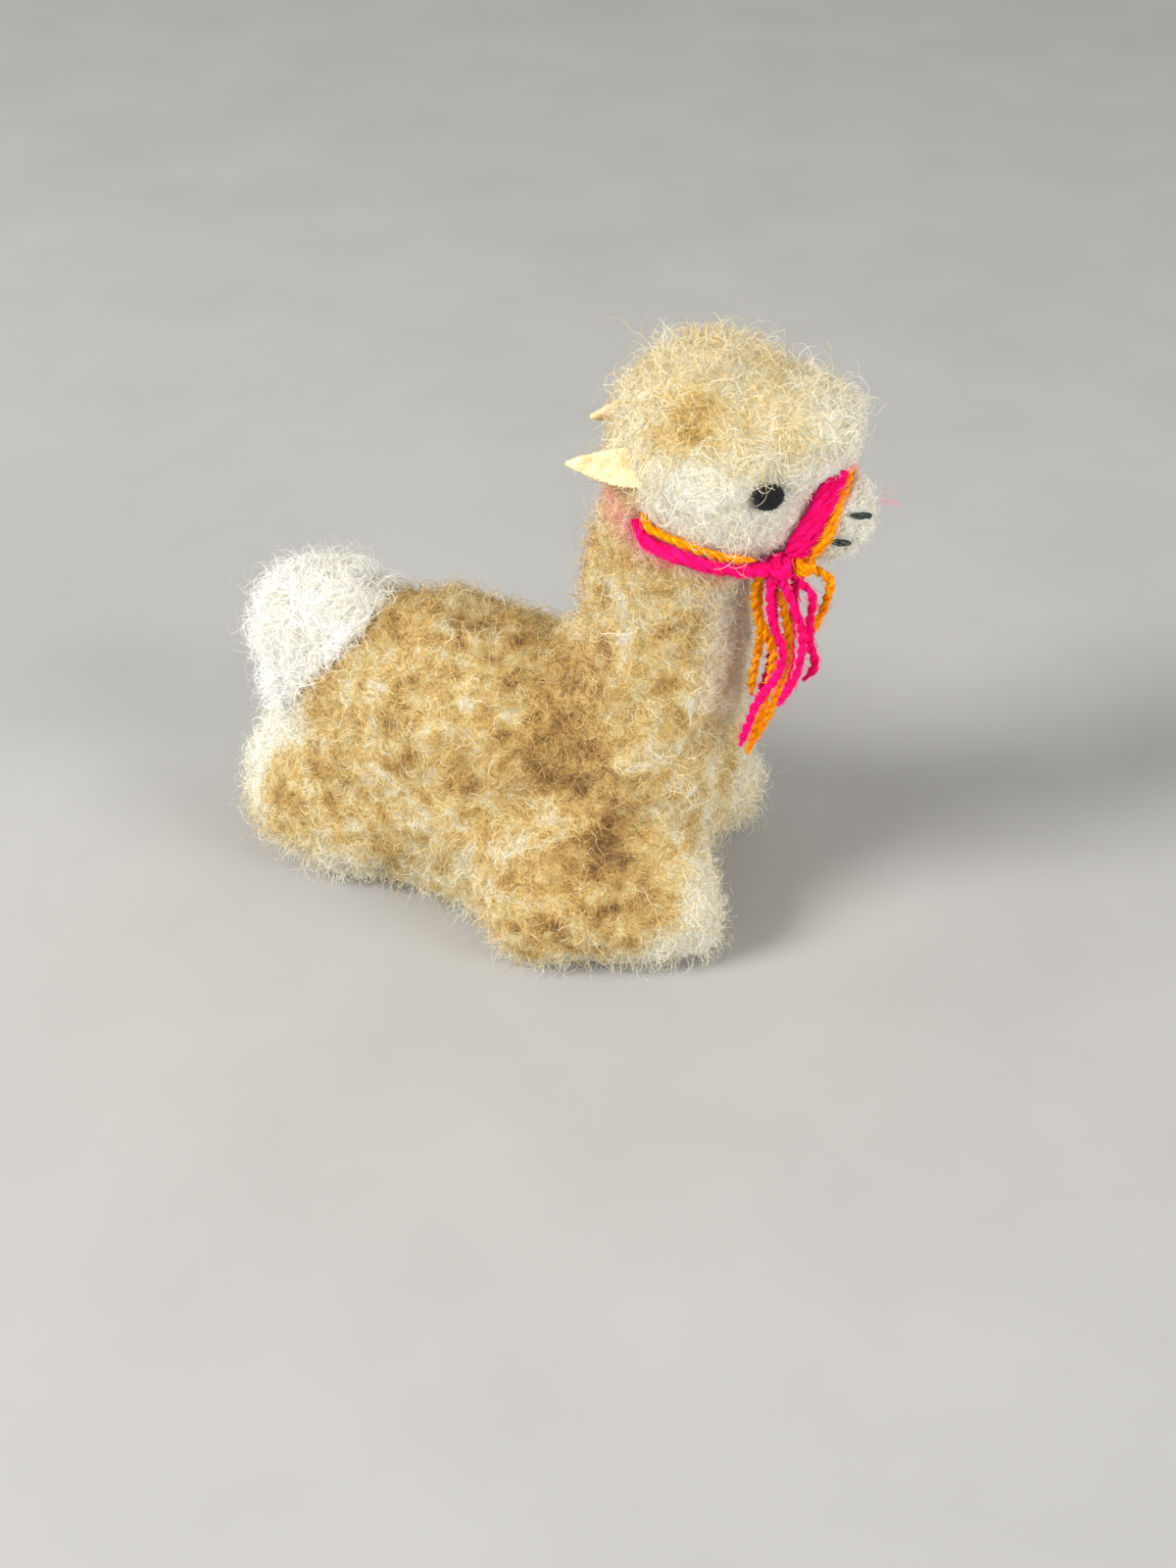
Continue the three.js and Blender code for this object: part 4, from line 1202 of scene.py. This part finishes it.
def lie_of(roots, out, hanging, rng):
    """The way each fibre leaves its root and the way it bends: downwards where it hangs or is near the
    ground, and out over the ground at the hem."""
    size = (len(roots), 3)
    lean = noise_vector(roots, 2.6 * MM, 61) * 1.2 + 0.65 * rng.normal(size=size)
    lean = flattened(lean, out)
    start = out + 0.55 * rng.normal(size=size)
    bend = 0.75 * lean - rng.uniform(0.0, 0.7, (len(roots), 1)) * out + towards_tuft(roots, out)
    resting = 1 - smoothstep(roots[:, 2], *LYING_HEIGHTS)
    bend -= (2.5 * hanging + 1.6 * resting)[:, None] * np.array([0, 0, 1])
    hem = hem_at(roots)[:, None]
    start += 1.2 * hem * unit(out * [1, 1, 0] + [0, 0, 0.15])
    bend += hem * (1.2 * rng.normal(size=size) + [0, 0, 1.2])
    return start, bend


def fur(name, skin, finish, count, seed, height, steps, width, curl, turns, arch, within=None):
    """A piece of curly fibres on a skin. Curl is how far they wave. With a centre and a radius, only the
    fibres within them grow. None grows on the flat underside."""
    rng = np.random.default_rng(seed)
    roots, out = samples_on(skin.data, count, rng)
    if within:
        inside = lengths(roots - within[0]) < within[1]
        roots, out = roots[inside], out[inside]
    pressed = (out[:, 2] < -0.85) & (roots[:, 2] < 1.2 * MM)
    roots, out = roots[~pressed], out[~pressed]
    count = len(roots)
    hanging = hanging_at(roots)
    long = lengths_at(roots, out, height, hanging, rng)
    start, bend = lie_of(roots, out, hanging, rng)
    swing = curl * rng.uniform(0.5, 1.3, count) * np.minimum(1, long / (3 * MM))
    turning = turns * rng.uniform(0.75, 1.25, count)
    state = rng.bit_generator.state
    paths = curled(roots, start, bend, long, swing, turning, steps, rng, arch)
    hit = kept.hits(paths) & (rng.random(count) > CROSSING_SHARE)
    rng.bit_generator.state = state
    long = np.where(hit, CUT_SHORT * long, long)
    paths = curled(roots, start, bend, long, swing, turning, steps, rng, arch)
    free = ~kept.hits(paths) | ~hit
    paths, roots, out = paths[free], roots[free], out[free]
    paths[..., 2] = np.maximum(paths[..., 2], LOWEST_FIBRE)
    share = np.linspace(0, 1, steps + 1)
    widths = width * rng.uniform(0.7, 1.2, len(paths))[:, None] * (1 - 0.7 * share**2)
    tones = tone_at(roots) + rng.normal(size=len(roots)) * 0.13
    return fibre_piece(name, finish, paths, widths, out, rng, tones, blush_at(roots))


# What the fibres leave free: the yarn, the stitches, the ears' tips and the eyes


def spots_on(node):
    corners = triangles_of(node)
    return np.vstack([corners.reshape(-1, 3), corners.mean(axis=1)])


BAND_SHOWS = unit(np.array([0.1, -0.8, 0.6]))  # the side on which no fleece hangs over the nose band's top
BAND_TOP = 80 * MM
BAND_TOP_LEFT = -2.5 * MM


def keep_strands(kept, body):
    for name, line in strands.items():
        thick = thickness_of(name)
        line = shown_part(name, line)
        if name == "neckband_orange":
            thick *= 0.6
        elif "band" in name:
            outs = unit(line - np.array([body.find_nearest(Vector(spot))[0] for spot in line]))
            kept.keep(line + 0.7 * thick * outs, 0.3 * thick)
        if "noseband" in name:
            top = line[(line[:, 2] > BAND_TOP) & (line[:, 1] < BAND_TOP_LEFT)]
            outs = unit(top - NOSE_CENTRE) - np.array([0, 0.5, 0])
            for over in (0.7, 1.2, 1.8):
                kept.keep(top + over * thick * outs, 0.4 * thick)
            for over in (1.0, 1.5, 2.0, 2.5):
                kept.keep(top + over * thick * BAND_SHOWS, 0.5 * thick)
        kept.keep(line, 0.5 * thick)


STITCHES = ("mouth_stitch_right", "mouth_stitch_left", "chin_stitch")
LEFT_STITCH_SHOWS = 4.6 * MM  # the fleece of the nose covers its front end, nearer the middle than this
STITCH_FREE = 0.65 * MM
EAR_BARE = (0.85, 0.1)  # the bare share of an ear, from its tip, at its lower and its upper edge
EAR_FREE = 0.6 * MM
HEAD_MIDDLE = np.array([32, 0, 84]) * MM
EYE_FREE = 1.5 * MM
EYE_LOWERED = 0.55 * MM
EYE_HALF = 0.7 * MM


def keep_stitches(kept):
    for node in STITCHES:
        spots = spots_on(node)
        if node == "mouth_stitch_left":
            spots = spots[spots[:, 1] > LEFT_STITCH_SHOWS]
        kept.keep(spots, STITCH_FREE)


def keep_ears(kept):
    for node in ("ear_right", "ear_left"):
        spots = spots_on(node)
        low, high = spots.min(axis=0), spots.max(axis=0)
        shares = (spots - low) / (high - low)
        bare = EAR_BARE[0] + (EAR_BARE[1] - EAR_BARE[0]) * shares[:, 2]
        kept.keep(spots[shares[:, 0] < bare], EAR_FREE)


def keep_eyes(kept):
    for node in ("eye_right", "eye_left"):
        middle = np.mean(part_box(node), axis=0) - np.array([0, 0, EYE_LOWERED])
        outward = unit(middle - HEAD_MIDDLE)
        for ahead in (-EYE_HALF, EYE_HALF):
            for step in range(6):
                place = middle + np.array([ahead, 0, 0]) + outward * (step * 0.6 * MM)
                kept.keep(place[None], EYE_FREE)


kept = Kept()
body_tree = tree_of("fleece_body")
tail_tree = tree_of("tail_tuft")
keep_strands(kept, body_tree)
keep_stitches(kept)
keep_ears(kept)
keep_eyes(kept)

CURLS = {"steps": 7, "width": 0.1 * MM, "curl": 0.26 * MM, "turns": 1.5, "arch": (2, 6)}
WISPS = {"steps": 16, "width": 0.06 * MM, "curl": 0.6 * MM, "turns": 2.2, "arch": (2, 6.5)}
MUZZLE_CURLS = {"steps": 6, "width": 0.1 * MM, "curl": 0.25 * MM, "turns": 1.6, "arch": (1.4, 4.8)}
MUZZLE_REACH = 11 * MM

skin = fleece_skin("fleece_body", "fleece_skin", FELTED, 0.9 * MM, tail_tree)
tail_skin = fleece_skin("tail_tuft", "tail_skin", WHITE_FELTED, 1.0 * MM, body_tree, TAIL_WAVES)
for index in range(3):
    fur(f"fleece_fur_{index + 1}", skin, FLEECE, 14150, 300 + index, 4.7 * MM, **CURLS)
fur("tail_fur", tail_skin, WHITE_FLEECE, 5900, 310, 5.9 * MM, **CURLS)
fur("fleece_wisps", skin, FLEECE, 2150, 320, 8.0 * MM, **WISPS)
fur("muzzle_fur", skin, FLEECE, 236000, 322, 4.6 * MM, within=(MUZZLE, MUZZLE_REACH), **MUZZLE_CURLS)
fur("tail_wisps", tail_skin, WHITE_FLEECE, 420, 321, 8.5 * MM, **WISPS)


# Eyes, ears and stitches


def roughened(node, name, finish, cell, rise, size):
    """A finer copy of a CAD node with an uneven surface, whose bumps have the given rise and size."""
    mesh = remeshed(node, cell, 3)
    points, out = points_of(mesh), normals_of(mesh)
    bumps = layered(points, [(1, size, 71), (0.5, 0.45 * size, 72)])
    set_points(mesh, points + out * (rise * bumps)[:, None])
    return new_piece(name, mesh, finish, [node])


FUZZ_WAVE = 0.08 * MM
FUZZ_STEPS = 4


def fuzz(name, piece, finish, count, shortest, longest, width):
    """Short fibres on a piece."""
    rng = np.random.default_rng(400)
    roots, out = samples_on(piece.data, count, rng)
    start = unit(out + 0.8 * rng.normal(size=out.shape))
    bend = 0.8 * rng.normal(size=out.shape) - 0.5 * out
    long = rng.uniform(shortest / MM, longest / MM, count) * MM
    paths = curled(roots, start, bend, long, np.full(count, FUZZ_WAVE), np.ones(count), FUZZ_STEPS, rng)
    fibre_piece(name, finish, paths, width, out, rng)


EAR_SEWN = 2.2 * MM


def sew_in(ear):
    """Draws the root of an ear in towards the head, the most at its upper edge."""
    points = points_of(ear.data)
    shares = (points - points.min(axis=0)) / np.ptp(points, axis=0)
    sewn = smoothstep(shares[:, 0], 0.25, 0.8) * (0.3 + 0.7 * shares[:, 2])
    points[:, 1] -= np.sign(points[:, 1]) * EAR_SEWN * sewn
    set_points(ear.data, points)


for side in ("right", "left"):
    eye = roughened("eye_" + side, "felt_eye_" + side, FELT, 0.22 * MM, 0.07 * MM, 0.7 * MM)
    fuzz("felt_fuzz_" + side, eye, FELT, 700, 0.25 * MM, 0.5 * MM, 0.07 * MM)
    ear = roughened("ear_" + side, "hide_ear_" + side, HIDE, 0.35 * MM, 0.1 * MM, 1.3 * MM)
    sew_in(ear)
    fuzz("ear_fuzz_" + side, ear, HIDE, 420, 0.4 * MM, 1.3 * MM, 0.05 * MM)

STITCH_THREAD = 0.6 * MM
STITCH_SIDES = 8
STITCH_REAR = 0.8 * MM
STITCH_BACK = 2.5 * MM
STITCH_TURNS = (2.5 * MM, 5.2 * MM)


def stitch_line(node):
    """The middle line of a stitch's solid, from its rear end on, which it passes by STITCH_REAR. The front of
    the left stitch lies deep in the fleece of the nose."""
    spots = triangles_of(node).mean(axis=1)
    middle = spots.mean(axis=0)
    place = (spots - middle) @ np.linalg.svd(spots - middle)[2][0]
    ends = np.linspace(place.min(), place.max(), 9)
    line = []
    for low, high in zip(ends[:-1], ends[1:]):
        inside = (place >= low) & (place <= high)
        if inside.any():
            line.append(spots[inside].mean(axis=0))
    line = resampled(rounded(np.array(line)), 0.12 * MM)
    if line[0, 0] > line[-1, 0]:
        line = line[::-1]
    rear = line[0] + np.linspace(STITCH_REAR, 0.1 * MM, 7)[:, None] * unit(line[0] - line[4])
    line = np.vstack([rear, line])
    if node == "mouth_stitch_left":
        back = 1 - smoothstep(line[:, 1:2], *STITCH_TURNS)
        line -= STITCH_BACK * back * np.array([1, 0, 0])
    return line


def stitch_piece(node, seed):
    """Three turns of thread side by side that meet at both ends of the stitch."""
    line = stitch_line(node)
    t = np.linspace(-1, 1, len(line))[:, None]
    bulge = 0.55 * STITCH_THREAD * (1 - t**2)
    parts = Parts()
    across, rise = sides_of(line)
    for k in range(3):
        angle = 2 * math.pi * k / 3 + 1.6 * t + seed
        strand = line + bulge * around(angle, across, rise)
        uneven = 1 + 0.08 * np.sin(np.arange(len(line)) * 1.9)
        radii = 0.5 * STITCH_THREAD * (1 - 0.55 * t[:, 0] ** 4) * uneven
        add_tube(parts, strand, radii, STITCH_SIDES, 1.0, (k / 3, (k + 0.9) / 3, 0.0, 1.0))
    name = "thread_" + node
    new_piece(name, parts.mesh(name), THREAD, [node])


for index, node in enumerate(STITCHES):
    stitch_piece(node, index)


# Light and floor
FLOOR_REACH = 6
FLOOR_GREYS = (colour(156, 155, 153), colour(161, 160, 158))
SKY_COLOUR = colour(242, 241, 238)
SKY_STRENGTH = 0.68


def area_light(name, place, aim, size, power, tint):
    data = bpy.data.lights.new(name, "AREA")
    data.shape = "DISK"
    data.size = size
    data.energy = power
    data.color = tint
    light = placed(name, data)
    light.location = place
    light.rotation_mode = "QUATERNION"
    light.rotation_quaternion = (Vector(aim) - Vector(place)).to_track_quat("-Z", "Y")


def make_floor():
    nodes = Nodes("floor")
    patches = nodes.spread(nodes.noise(40 * MM, 3), 0.3, 0.7)
    mesh = bpy.data.meshes.new("floor")
    corners = [(x * FLOOR_REACH, y * FLOOR_REACH, 0) for x, y in ((-1, -1), (1, -1), (1, 1), (-1, 1))]
    mesh.from_pydata(corners, [], [(0, 1, 2, 3)])
    mesh.materials.append(nodes.finished(nodes.mix(patches, *FLOOR_GREYS), 0.8, 0.2))
    floor = placed("floor", mesh)


def make_sky():
    world = bpy.data.worlds.new("world")
    world.use_nodes = True
    background = world.node_tree.nodes["Background"]
    background.inputs["Color"].default_value = SKY_COLOUR
    background.inputs["Strength"].default_value = SKY_STRENGTH
    bpy.context.scene.world = world


make_floor()
make_sky()
area_light("key", (-0.75, -0.6, 0.68), (0, 0, 0.04), 0.5, 21, (1.0, 0.985, 0.95))
area_light("fill", (1.0, -0.5, 0.42), (0, 0, 0.05), 0.7, 12.8, (1.0, 0.99, 0.97))
bpy.context.scene.view_settings.view_transform = "Standard"
